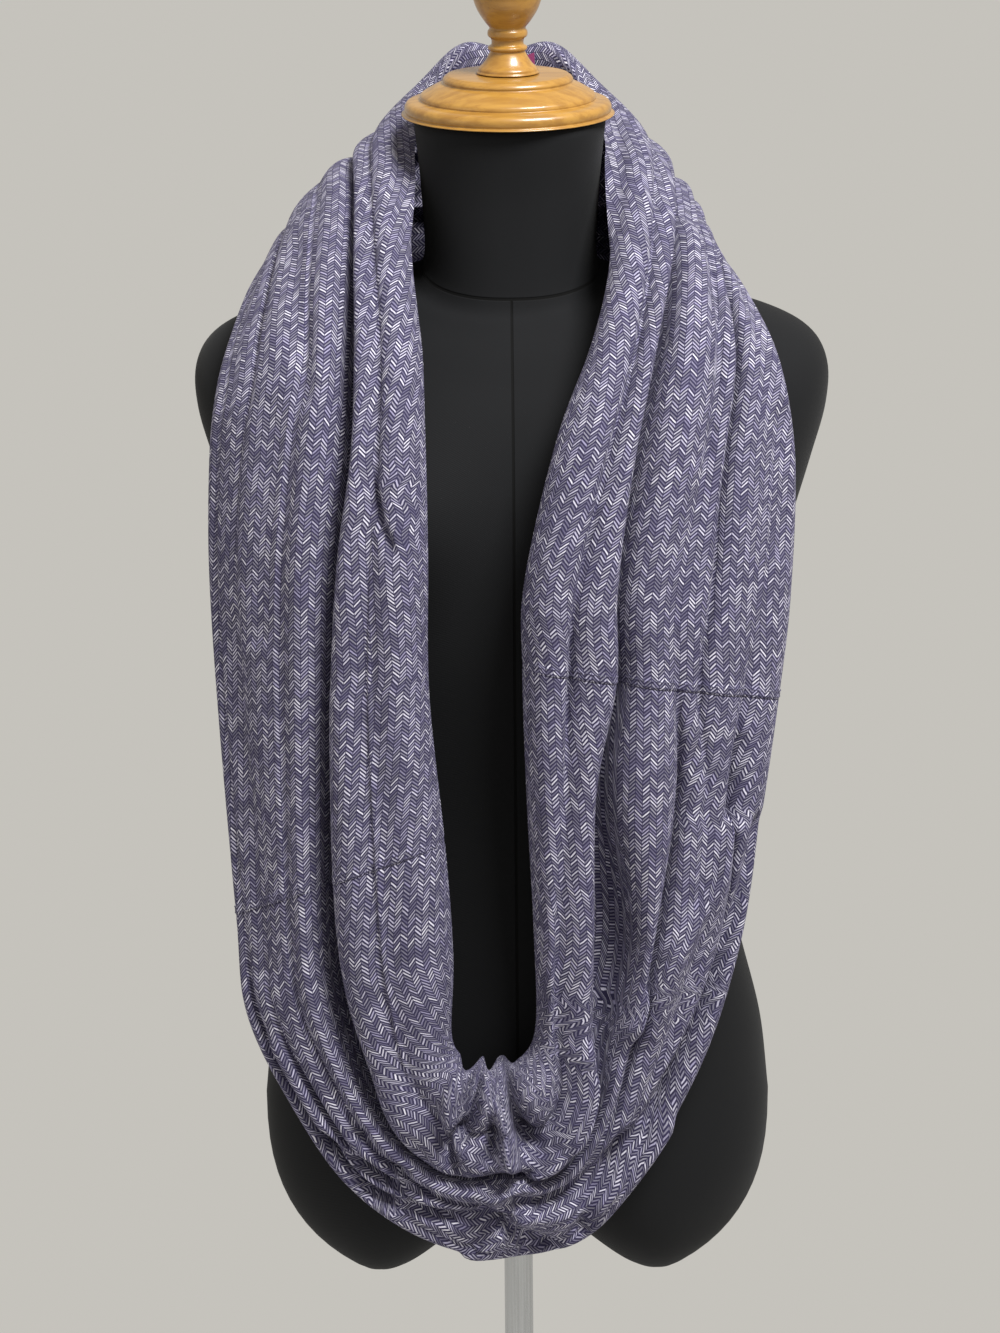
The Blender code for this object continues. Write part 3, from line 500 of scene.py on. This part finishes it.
def strip_surface(start, end, band, clear_of):
    """Grid of points (metres) of one length of the strip, and its flat coordinates."""
    places, runs = even_places(start, end, STEP_ALONG)
    inner, outer = closed_curve(INNER, places), closed_curve(OUTER, places)
    ahead = closed_curve(INNER + OUTER, places + 0.1) - closed_curve(INNER + OUTER, places - 0.1)
    across = outer - inner
    width = np.linalg.norm(across, axis=1)
    out = np.cross(across, ahead)
    out /= np.linalg.norm(out, axis=1)[:, None]
    share, height, roll_of = profiles(places, width)
    height = height + 4.0 * closed_curve(SHAPE, places)[:, :1] * share * (1.0 - share)
    base = inner[:, None] + across[:, None] * share[..., None]
    height = height + crease_lift(base, out)
    share, height = soften(share, 2), soften(height, 2)
    height = height + seam_relief(runs, band)[:, None]
    points = inner[:, None] + across[:, None] * share[..., None] + out[:, None] * height[..., None]
    points = lift_clear(points * MM, clear_of)
    from_nape = np.minimum(places % COUNT, COUNT - places % COUNT)
    hold = np.clip(SETTLE_PLACES - from_nape, 0.0, 1.0)[1:-1, None, None]
    for _ in range(SETTLE_ROUNDS):
        points[1:-1] += hold * 0.5 * (0.5 * (points[:-2] + points[2:]) - points[1:-1])
    return runs, lift_clear(points, clear_of), roll_of


def flat_coordinates(points, roll_of):
    """(across, along) of each point on the flat cut, in metres."""
    steps = np.linalg.norm(np.diff(points, axis=1), axis=2)
    u = np.concatenate((np.zeros((len(points), 1)), np.cumsum(steps, axis=1)), 1)
    centre = EDGE_STEPS + ROLL_STEPS[0] + ROLL_STEPS[1] + 2 + ROLL_STEPS[2] // 2
    u = u - u[:, centre:centre + 1]
    runs = []
    for column in (EDGE_STEPS + ROLL_STEPS[0] + 1 + ROLL_STEPS[1] // 2, centre + ROLL_STEPS[2] // 2 + 8):
        line = np.linalg.norm(np.diff(points[:, column], axis=0), axis=1)
        runs.append(np.concatenate(([0.0], np.cumsum(line))))
    gap = EDGE_STEPS + ROLL_STEPS[0] + ROLL_STEPS[1] + 2
    part = np.clip((np.arange(points.shape[1]) - gap) / 10.0 + 0.5, 0, 1)
    v = runs[0][:, None] * (1 - part) + runs[1][:, None] * part
    return u, v


def grid_mesh(name, points, uv=None, paint=None):
    rows, columns = points.shape[:2]
    index = np.arange(rows * columns).reshape(rows, columns)
    faces = np.stack((index[:-1, :-1], index[1:, :-1], index[1:, 1:], index[:-1, 1:]), -1).reshape(-1, 4)
    mesh = bpy.data.meshes.new(name)
    mesh.from_pydata(points.reshape(-1, 3).tolist(), [], faces.tolist())
    mesh.polygons.foreach_set("use_smooth", [True] * len(mesh.polygons))
    if uv is not None:
        flat = np.stack(uv, -1).reshape(-1, 2)
        layer = mesh.uv_layers.new(name="flat")
        layer.data.foreach_set("uv", flat[faces.reshape(-1)].reshape(-1).astype(np.float32))
    if paint is not None:
        mesh.materials.append(paint)
    thing = bpy.data.objects.new(name, mesh)
    bpy.context.scene.collection.objects.link(thing)
    return thing


def seam_stitches(name, runs, points, at_end, paint):
    """Rows of small stitches across one end of a length, as one joined mesh."""
    if at_end:
        runs, points = runs[-1] - runs[::-1], points[::-1]
    corners, faces = [], []
    for offset in STITCH_LINES:
        row = int(np.searchsorted(runs, offset))
        part = (offset - runs[row - 1]) / (runs[row] - runs[row - 1])
        line = points[row - 1] * (1.0 - part) + points[row] * part
        ahead = np.gradient(line, axis=0)
        out = np.cross(points[row] - points[row - 1], ahead)
        out /= np.linalg.norm(out, axis=1)[:, None] * (1.0 if at_end else -1.0)
        steps = np.concatenate(([0.0], np.cumsum(np.linalg.norm(np.diff(line, axis=0), axis=1))))
        for stitch in np.arange(steps[EDGE_STEPS] + 0.002, steps[-EDGE_STEPS], STITCH_PITCH * MM):
            half = 0.5 * STITCH_LONG
            here, there, up = (
                np.array([np.interp(stitch + shift * MM, steps, column) for column in table.T])
                for shift, table in ((-half, line), (half, line), (0.0, out))
            )
            way = (there - here) / np.linalg.norm(there - here)
            side = np.cross(way, up)
            first = len(corners)
            corners.append(here)
            for share in (0.25, 0.75):
                middle = here + (there - here) * share + up * 0.5 * STITCH_THICK * MM
                for corner in range(STITCH_SIDES):
                    angle = 2.0 * pi * corner / STITCH_SIDES
                    corners.append(middle + (up * cos(angle) + side * sin(angle)) * STITCH_THICK * MM)
            corners.append(there)
            for corner in range(STITCH_SIDES):
                low, high = first + 1 + corner, first + 1 + (corner + 1) % STITCH_SIDES
                faces.append((first, high, low))
                faces.append((low, high, high + STITCH_SIDES, low + STITCH_SIDES))
                faces.append((low + STITCH_SIDES, high + STITCH_SIDES, first + 1 + 2 * STITCH_SIDES))
    mesh = bpy.data.meshes.new(name)
    mesh.from_pydata([tuple(corner) for corner in corners], [], faces)
    mesh.polygons.foreach_set("use_smooth", [True] * len(mesh.polygons))
    mesh.materials.append(paint)
    thing = bpy.data.objects.new(name, mesh)
    bpy.context.scene.collection.objects.link(thing)
    return thing


# ------------------------------------------------------------------ materials
class Paint:
    """Short hands for building one procedural material."""

    def __init__(self, name, roughness=0.5, metallic=0.0):
        self.material = bpy.data.materials.new(name)
        self.material.use_nodes = True
        self.tree = self.material.node_tree
        self.shader = self.tree.nodes["Principled BSDF"]
        self.set("Roughness", roughness)
        self.set("Metallic", metallic)

    def set(self, socket, value):
        self.shader.inputs[socket].default_value = value

    def feed(self, socket, value):
        if isinstance(value, bpy.types.NodeSocket):
            self.tree.links.new(value, socket)
        else:
            socket.default_value = value

    def math(self, operation, a, b=0.0, c=0.0):
        node = self.tree.nodes.new("ShaderNodeMath")
        node.operation = operation
        for socket, value in zip(node.inputs, (a, b, c)):
            self.feed(socket, value)
        return node.outputs[0]

    def ramp(self, value, low, high, to_low=0.0, to_high=1.0, kind="SMOOTHSTEP"):
        node = self.tree.nodes.new("ShaderNodeMapRange")
        node.interpolation_type = kind
        for socket, number in zip(node.inputs[:5], (value, low, high, to_low, to_high)):
            self.feed(socket, number)
        return node.outputs[0]

    def mix(self, share, a, b, kind="MIX"):
        node = self.tree.nodes.new("ShaderNodeMix")
        node.data_type = "RGBA"
        node.blend_type = kind
        self.feed(node.inputs[0], share)
        self.feed(node.inputs[6], a if isinstance(a, bpy.types.NodeSocket) else (*a, 1.0))
        self.feed(node.inputs[7], b if isinstance(b, bpy.types.NodeSocket) else (*b, 1.0))
        return node.outputs[2]

    def split(self, vector):
        node = self.tree.nodes.new("ShaderNodeSeparateXYZ")
        self.feed(node.inputs[0], vector)
        return node.outputs

    def join(self, x, y, z=0.0):
        node = self.tree.nodes.new("ShaderNodeCombineXYZ")
        for socket, value in zip(node.inputs, (x, y, z)):
            self.feed(socket, value)
        return node.outputs[0]

    def noise(self, vector, scale, detail=2.0, rough=0.5):
        node = self.tree.nodes.new("ShaderNodeTexNoise")
        self.feed(node.inputs["Vector"], vector)
        node.inputs["Scale"].default_value = scale
        node.inputs["Detail"].default_value = detail
        node.inputs["Roughness"].default_value = rough
        return node.outputs[0]

    def speckle(self, vector):
        node = self.tree.nodes.new("ShaderNodeTexWhiteNoise")
        node.noise_dimensions = "3D"
        self.feed(node.inputs["Vector"], vector)
        return node.outputs[0]

    def flat(self):
        node = self.tree.nodes.new("ShaderNodeUVMap")
        node.uv_map = "flat"
        return node.outputs[0]

    def where(self):
        return self.tree.nodes.new("ShaderNodeTexCoord").outputs["Object"]

    def bump(self, height, distance, strength=1.0):
        node = self.tree.nodes.new("ShaderNodeBump")
        node.inputs["Strength"].default_value = strength
        node.inputs["Distance"].default_value = distance
        self.feed(node.inputs["Height"], height)
        self.tree.links.new(node.outputs[0], self.shader.inputs["Normal"])


COLUMN, DASH, DASH_SLOPE = 4.4, 2.25, 0.95


def knit_paint():
    paint = Paint("heather_herringbone_knit", 0.88)
    paint.set("Sheen Weight", 0.07)
    paint.set("Sheen Roughness", 0.45)
    paint.set("Sheen Tint", (0.66, 0.62, 0.9, 1.0))
    paint.set("Specular IOR Level", 0.12)
    u, v, _ = paint.split(paint.flat())
    u, v = paint.math("MULTIPLY", u, 1000.0), paint.math("MULTIPLY", v, 1000.0)
    place = paint.join(u, v)
    wander = paint.math("SUBTRACT", paint.noise(place, 0.09, 2.0), 0.5)
    u = paint.math("ADD", u, paint.math("MULTIPLY", wander, 1.6))
    jitter = paint.math("SUBTRACT", paint.noise(place, 0.45, 2.0), 0.5)
    v = paint.math("ADD", v, paint.math("MULTIPLY", jitter, 0.5))
    column = paint.math("DIVIDE", u, COLUMN)
    index = paint.math("FLOOR", column)
    inside = paint.math("SUBTRACT", paint.math("FRACT", column), 0.5)
    way = paint.math("SUBTRACT", paint.math("MULTIPLY", paint.math("PINGPONG", index, 1.0), 2.0), 1.0)
    slant = paint.math("MULTIPLY", paint.math("MULTIPLY", way, inside), COLUMN * DASH_SLOPE)
    rung = paint.math("DIVIDE", paint.math("ADD", v, slant), DASH)
    rung_index = paint.math("FLOOR", rung)
    rung_part = paint.math("ABSOLUTE", paint.math("SUBTRACT", paint.math("FRACT", rung), 0.5))
    luck = paint.speckle(paint.join(index, rung_index, 0.5))
    luck_two = paint.speckle(paint.join(index, rung_index, 7.5))
    long = paint.ramp(paint.math("ABSOLUTE", inside), 0.40, 0.50, 1.0, 0.15)
    thin = paint.ramp(rung_part, 0.15, 0.32, 1.0, 0.0)
    dash = paint.math("MULTIPLY", long, thin)
    bright = paint.ramp(luck, 0.20, 0.90, 0.24, 0.90)
    light = paint.math("MULTIPLY", dash, bright)
    tone = paint.noise(place, 0.02, 3.0)
    ground = paint.mix(tone, (0.031, 0.027, 0.066), (0.044, 0.039, 0.088))
    ground = paint.mix(paint.math("MULTIPLY", luck_two, 0.35), ground, (0.016, 0.013, 0.040))
    thread = paint.mix(luck_two, (0.36, 0.335, 0.50), (0.82, 0.80, 0.90))
    colour = paint.mix(light, ground, thread)
    paint.feed(paint.shader.inputs["Base Color"], colour)
    fuzz = paint.noise(place, 2.2, 2.0)
    height = paint.math("ADD", dash, paint.math("MULTIPLY", fuzz, 0.5))
    paint.bump(height, 0.0004, 0.75)
    return paint.material


def thread_paint():
    paint = Paint("seam_thread", 0.6)
    paint.set("Sheen Weight", 0.2)
    tone = paint.noise(paint.where(), 420.0, 2.0)
    colour = paint.mix(tone, (0.035, 0.031, 0.070), (0.085, 0.078, 0.150))
    paint.feed(paint.shader.inputs["Base Color"], colour)
    paint.bump(tone, 0.0001, 0.4)
    return paint.material


def twill_paint():
    paint = Paint("form_twill_cover", 0.8)
    paint.set("Sheen Weight", 0.035)
    paint.set("Sheen Roughness", 0.5)
    paint.set("Specular IOR Level", 0.14)
    u, v, _ = paint.split(paint.flat())
    place = paint.join(u, v)
    wale = paint.math("FRACT", paint.math("MULTIPLY", paint.math("ADD", u, v), 900.0))
    ridge = paint.ramp(paint.math("ABSOLUTE", paint.math("SUBTRACT", wale, 0.5)), 0.1, 0.45, 1.0, 0.0)
    tone = paint.noise(place, 9.0, 3.0)
    lint = paint.ramp(paint.noise(place, 1400.0, 1.0), 0.74, 0.80, 0.0, 1.0)
    dark = paint.mix(tone, (0.0040, 0.0042, 0.0048), (0.0075, 0.0078, 0.0088))
    colour = paint.mix(paint.math("MULTIPLY", ridge, 0.5), dark, (0.014, 0.0145, 0.016))
    colour = paint.mix(paint.math("MULTIPLY", lint, 0.10), colour, (0.2, 0.2, 0.2))
    seam = form_seams(paint)
    colour = paint.mix(seam, colour, (0.002, 0.002, 0.002))
    paint.feed(paint.shader.inputs["Base Color"], colour)
    height = paint.math("SUBTRACT", paint.math("MULTIPLY", ridge, 0.12), paint.math("MULTIPLY", seam, 2.0))
    paint.bump(height, 0.0005, 0.5)
    return paint.material


def form_seams(paint):
    """Mask of the form cover's sewn lines, from each vertex's own seam distances."""
    node = paint.tree.nodes.new("ShaderNodeUVMap")
    node.uv_map = "seams"
    across, down, _ = paint.split(node.outputs[0])
    neck = paint.ramp(paint.math("ABSOLUTE", down), 0.0006, 0.0013, 1.0, 0.0)
    centre = paint.ramp(paint.math("ABSOLUTE", across), 0.0005, 0.0011, 1.0, 0.0)
    below = paint.math("LESS_THAN", down, 0.0)
    return paint.math("MAXIMUM", neck, paint.math("MULTIPLY", centre, below))


def wood_paint():
    paint = Paint("varnished_oak", 0.32)
    paint.set("Coat Weight", 0.3)
    paint.set("Coat Roughness", 0.12)
    x, y, z = paint.split(paint.where())
    stretched = paint.join(paint.math("MULTIPLY", x, 0.12), y, z)
    ring = paint.noise(stretched, 190.0, 4.0, 0.6)
    broad = paint.noise(stretched, 36.0, 2.0)
    band = paint.ramp(ring, 0.38, 0.66)
    light = paint.mix(broad, (0.37, 0.185, 0.030), (0.45, 0.240, 0.046))
    colour = paint.mix(paint.math("MULTIPLY", band, 0.6), light, (0.25, 0.110, 0.015))
    pores = paint.ramp(paint.noise(stretched, 900.0, 2.0), 0.62, 0.72)
    colour = paint.mix(paint.math("MULTIPLY", pores, 0.35), colour, (0.22, 0.085, 0.02))
    paint.feed(paint.shader.inputs["Base Color"], colour)
    paint.bump(pores, 0.0002, 0.15)
    return paint.material


def steel_paint():
    paint = Paint("brushed_pole_steel", 0.3, 1.0)
    x, y, z = paint.split(paint.where())
    fine_x, fine_y = paint.math("MULTIPLY", x, 60.0), paint.math("MULTIPLY", y, 60.0)
    streak = paint.noise(paint.join(fine_x, fine_y, z), 14.0, 3.0)
    colour = paint.mix(streak, (0.48, 0.49, 0.50), (0.62, 0.63, 0.64))
    paint.feed(paint.shader.inputs["Base Color"], colour)
    paint.feed(paint.shader.inputs["Roughness"], paint.ramp(streak, 0.3, 0.7, 0.24, 0.38))
    return paint.material


def base_paint():
    paint = Paint("satin_base_paint", 0.5)
    speck = paint.noise(paint.where(), 160.0, 3.0)
    colour = paint.mix(speck, (0.024, 0.024, 0.026), (0.034, 0.034, 0.036))
    paint.feed(paint.shader.inputs["Base Color"], colour)
    paint.feed(paint.shader.inputs["Roughness"], paint.ramp(speck, 0.3, 0.7, 0.42, 0.6))
    paint.bump(speck, 0.0002, 0.3)
    return paint.material


def tape_paint():
    paint = Paint("magenta_label_tape", 0.7)
    paint.set("Sheen Weight", 0.2)
    x, y, z = paint.split(paint.where())
    rib = paint.math("FRACT", paint.math("MULTIPLY", z, 2200.0))
    colour = paint.mix(rib, (0.20, 0.02, 0.10), (0.34, 0.04, 0.18))
    paint.feed(paint.shader.inputs["Base Color"], colour)
    paint.bump(rib, 0.0002, 0.4)
    return paint.material


# ------------------------------------------------------------------ dress form
def body_rings():
    """Rings of the form from the neck to the hips, then over the two lobes."""
    count = len(BODY_SECTIONS)
    places = np.linspace(0, count - 1, (count - 1) * BODY_STEPS + 1)
    start = np.minimum(places.astype(int), count - 2)
    part = (places - start)[:, None]
    rows = np.vstack((2 * BODY_SECTIONS[:1] - BODY_SECTIONS[1:2], BODY_SECTIONS,
                      2 * BODY_SECTIONS[-1:] - BODY_SECTIONS[-2:-1]))
    a, b, c, d = (rows[start + shift] for shift in (0, 1, 2, 3))
    table = 0.5 * (2 * b + (c - a) * part + (2 * a - 5 * b + 4 * c - d) * part ** 2
                   + (3 * b - a - 3 * c + d) * part ** 3)
    angle = np.radians(np.linspace(0.0, 360.0, BODY_CORNERS + 1)) - 0.5 * pi
    wide, deep = np.abs(np.cos(angle)), np.abs(np.sin(angle))
    size = (wide ** BODY_FULLNESS + deep ** BODY_FULLNESS) ** (-1 / BODY_FULLNESS)
    reach_x, reach_y = np.cos(angle) * size, np.sin(angle) * size
    z_front, z_side, z_back, half, y_front, y_back = (column[:, None] for column in table.T)
    x = half * reach_x
    y = 0.5 * (y_front + y_back) + 0.5 * (y_back - y_front) * reach_y
    z = z_side + 0.5 * (z_back - z_front) * reach_y + (0.5 * (z_back + z_front) - z_side) * reach_y ** 2
    bust = np.exp(-((np.abs(x) - BUST_X) / BUST_SPREAD) ** 2 - ((z - BUST_Z) / BUST_SPREAD) ** 2)
    y = y - BUST_OUT * bust * np.clip(-np.sin(angle), 0, None)
    rings = np.stack((x, y, z), -1)
    hip = rings[-1]
    middle_y = 0.5 * (BODY_SECTIONS[-1][4] + BODY_SECTIONS[-1][5])
    lobes = []
    for step in range(1, LOBE_RINGS + 1):
        share = cos(0.5 * pi * step / LOBE_RINGS)
        fall = (1.0 - share ** LOBE_CURVE) ** (1.0 / LOBE_CURVE)
        ring_x, ring_y = hip[:, 0] * share, middle_y + (hip[:, 1] - middle_y) * share
        reach = np.clip(np.abs(ring_x) / LOBE_X, 0, 1)
        drop = CROTCH_DROP + (LOBE_DROP - CROTCH_DROP) * reach * reach * (3 - 2 * reach)
        lobes.append(np.stack((ring_x, ring_y, HIP.height - drop * fall), -1))
    return np.concatenate((rings, np.array(lobes)))


def build_body(paint):
    rings = body_rings()
    steps = np.linalg.norm(np.diff(rings, axis=0), axis=2)
    down = np.concatenate((np.zeros((1, rings.shape[1])), np.cumsum(steps, axis=0)))
    angle = np.linspace(-pi, pi, rings.shape[1])
    around = np.broadcast_to(angle * 150.0, down.shape)
    thing = grid_mesh("form_body", rings * MM, (around * MM, down * MM), paint)
    mesh = thing.data
    crown = rings[0].mean(axis=0) * MM
    tidy = bmesh.new()
    tidy.from_mesh(mesh)
    layer = tidy.loops.layers.uv.new("seams")
    tidy.verts.ensure_lookup_table()
    columns = rings.shape[1]
    seam_down = down[NECK_SEAM_ROW * BODY_STEPS]
    for face in tidy.faces:
        for loop in face.loops:
            row, column = divmod(loop.vert.index, columns)
            front = rings[row, column, 0]
            loop[layer].uv = (front * MM, (seam_down[column] - down[row, column]) * MM)
    top = tidy.verts.new(crown)
    tidy.verts.ensure_lookup_table()
    for column in range(columns - 1):
        tidy.faces.new((top, tidy.verts[column + 1], tidy.verts[column]))
    bmesh.ops.remove_doubles(tidy, verts=tidy.verts, dist=0.00002)
    bmesh.ops.recalc_face_normals(tidy, faces=tidy.faces)
    for face in tidy.faces:
        face.smooth = True
    tidy.to_mesh(mesh)
    tidy.free()
    return thing


def build_tree(things):
    points, faces = [], []
    for thing in things:
        first = len(points)
        points += [thing.matrix_world @ vertex.co for vertex in thing.data.vertices]
        faces += [[first + corner for corner in face.vertices] for face in thing.data.polygons]
    return BVHTree.FromPolygons(points, faces)


CAP_PROFILE = (
    (0.0, 24.6), (33.0, 24.6), (38.5, 23.6), (40.5, 21.4), (40.5, 19.6),
    (45.0, 17.8), (50.5, 14.8), (54.0, 12.6), (55.0, 10.6), (55.4, 9.4),
    (61.5, 8.4), (63.8, 6.6), (64.5, 4.2), (63.8, 1.6), (61.5, 0.0), (0.0, 0.0),
)
FINIAL_PROFILE = (
    (0.0, 108.0), (2.6, 107.2), (4.2, 104.4), (4.6, 101.0), (9.0, 98.6),
    (15.0, 94.4), (19.6, 88.0), (22.0, 80.0), (21.6, 72.0), (18.8, 63.5),
    (14.4, 56.5), (11.2, 52.4), (12.2, 50.4), (12.2, 47.6), (10.4, 46.0),
    (9.9, 44.0), (10.2, 42.2), (12.0, 41.0), (12.0, 39.4), (10.9, 38.4),
    (12.4, 35.0), (15.2, 31.0), (18.0, 28.4), (18.6, 26.6), (18.2, 25.0), (0.0, 25.0),
)
TURN_STEPS = 96
PROFILE_FINE = 4


def build_turned(name, profile, paint):
    """Wood turned about the cap's leaning axis, its profile eased between the table's points."""
    profile = np.array(profile)
    run = np.arange(len(profile))
    fine = np.linspace(0, len(profile) - 1, (len(profile) - 1) * PROFILE_FINE + 1)
    start = np.minimum(fine.astype(int), len(profile) - 2)
    part = (fine - start)[:, None]
    rows = np.vstack((profile[:1], profile, profile[-1:]))
    a, b, c, d = (rows[start + shift] for shift in (0, 1, 2, 3))
    curve = 0.5 * (2 * b + (c - a) * part + (2 * a - 5 * b + 4 * c - d) * part ** 2
                   + (3 * b - a - 3 * c + d) * part ** 3)
    curve[:, 0] = np.clip(curve[:, 0], 0.02, None)
    angle = np.linspace(0.0, 2 * pi, TURN_STEPS + 1)
    ring = np.stack((np.cos(angle), np.sin(angle)), -1)
    points = np.concatenate((curve[:, None, :1] * ring[None],
                             np.broadcast_to(curve[:, None, 1:], (len(curve), TURN_STEPS + 1, 1))), 2)
    thing = grid_mesh(name, points * MM, None, paint)
    lean = Matrix.Rotation(CAP_TILT, 4, "X")
    thing.data.transform(Matrix.Translation(CAP_FOOT) @ lean)
    tidy = bmesh.new()
    tidy.from_mesh(thing.data)
    bmesh.ops.remove_doubles(tidy, verts=tidy.verts, dist=0.00003)
    bmesh.ops.recalc_face_normals(tidy, faces=tidy.faces)
    tidy.to_mesh(thing.data)
    tidy.free()
    return thing


# ----------------------------------------------------------------- assemble it
KNIT, TWILL, WOOD = knit_paint(), twill_paint(), wood_paint()
STEEL, BASE, TAPE, THREAD = steel_paint(), base_paint(), tape_paint(), thread_paint()

body = build_body(TWILL)
cap = build_turned("cap_turned", CAP_PROFILE, WOOD)
knob = build_turned("finial_turned", FINIAL_PROFILE, WOOD)
CLEAR_OF = build_tree([body, cap])
SEAM_L, SEAM_R = NAMES.index("seam_l"), NAMES.index("seam_r")
for name, start, end, node, band in (
    ("scarf_lower", SEAM_L, SEAM_R, "scarf_lower_length", 0.0),
    ("scarf_upper", SEAM_R - COUNT, SEAM_L, "scarf_upper_length", 1.0),
):
    runs, points, roll_of = strip_surface(start, end, band, CLEAR_OF)
    uv = flat_coordinates(points, roll_of)
    piece = grid_mesh(name, points, uv, KNIT)
    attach(piece, "root")
    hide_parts(node)

for name, at_end in (("seam_stitches_left", True), ("seam_stitches_right", False)):
    rows = seam_stitches(name, runs, points, at_end, THREAD)
    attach(rows, "root")

for thing, node, slot in ((body, "torso_form", "form_cover"), (cap, "neck_cap", "varnished_wood"),
                          (knob, "finial", "varnished_wood")):
    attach(thing, "root")
    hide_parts(node)
for node, paint in (("pole", STEEL), ("base_plate", BASE), ("nape_label", TAPE)):
    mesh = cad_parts[node].data
    mesh.materials.clear()
    mesh.materials.append(paint)

# ------------------------------------------------------------ stage and camera
bpy.ops.mesh.primitive_circle_add(vertices=96, radius=1.3, fill_type="NGON", location=(0.0, 0.0, -0.0005))
floor = bpy.context.object
floor.name = "stage_floor"
floor_paint = Paint("pale_floor", 0.85)
floor_paint.set("Base Color", (0.72, 0.715, 0.70, 1.0))
floor.data.materials.append(floor_paint.material)

ROOM_BRIGHTNESS = 0.56
ROOM_COLOUR = (1.0, 0.97, 0.90, 1.0)
world = bpy.data.worlds.new("pale_room")
bpy.context.scene.world = world
world.use_nodes = True
backdrop = world.node_tree.nodes["Background"]
backdrop.inputs[0].default_value = ROOM_COLOUR
backdrop.inputs[1].default_value = ROOM_BRIGHTNESS


def soft_light(name, place, aim, size, power):
    data = bpy.data.lights.new(name, "AREA")
    data.shape = "RECTANGLE"
    data.size, data.size_y = size
    data.energy = power
    lamp = bpy.data.objects.new(name, data)
    bpy.context.scene.collection.objects.link(lamp)
    way = (Vector(aim) - Vector(place)).normalized()
    lamp.matrix_world = Matrix.Translation(place) @ way.to_track_quat("-Z", "Y").to_matrix().to_4x4()


soft_light("ceiling_soft", (0.75, -1.15, 2.75), (0.0, 0.0, 1.15), (0.8, 0.6), 62.0)
soft_light("left_soft", (-2.0, -1.4, 1.7), (0.0, 0.0, 1.1), (1.2, 1.6), 3.0)

CAMERA_PLACE = (-0.009, -1.5, 1.2942)
CAMERA_PITCH, CAMERA_ROLL = 83.0, -0.5       # degrees; a pitch of 90 looks level
CAMERA_LENS, SENSOR_WIDTH = 63.0, 36.0
camera_data = bpy.data.cameras.new("photo_camera")
camera_data.lens = CAMERA_LENS
camera_data.sensor_width = SENSOR_WIDTH
camera = bpy.data.objects.new("photo_camera", camera_data)
bpy.context.scene.collection.objects.link(camera)
camera.matrix_world = (Matrix.Translation(CAMERA_PLACE)
                       @ Matrix.Rotation(radians(CAMERA_PITCH), 4, "X")
                       @ Matrix.Rotation(radians(CAMERA_ROLL), 4, "Z"))
bpy.context.scene.camera = camera
bpy.context.scene.view_settings.view_transform = "Standard"
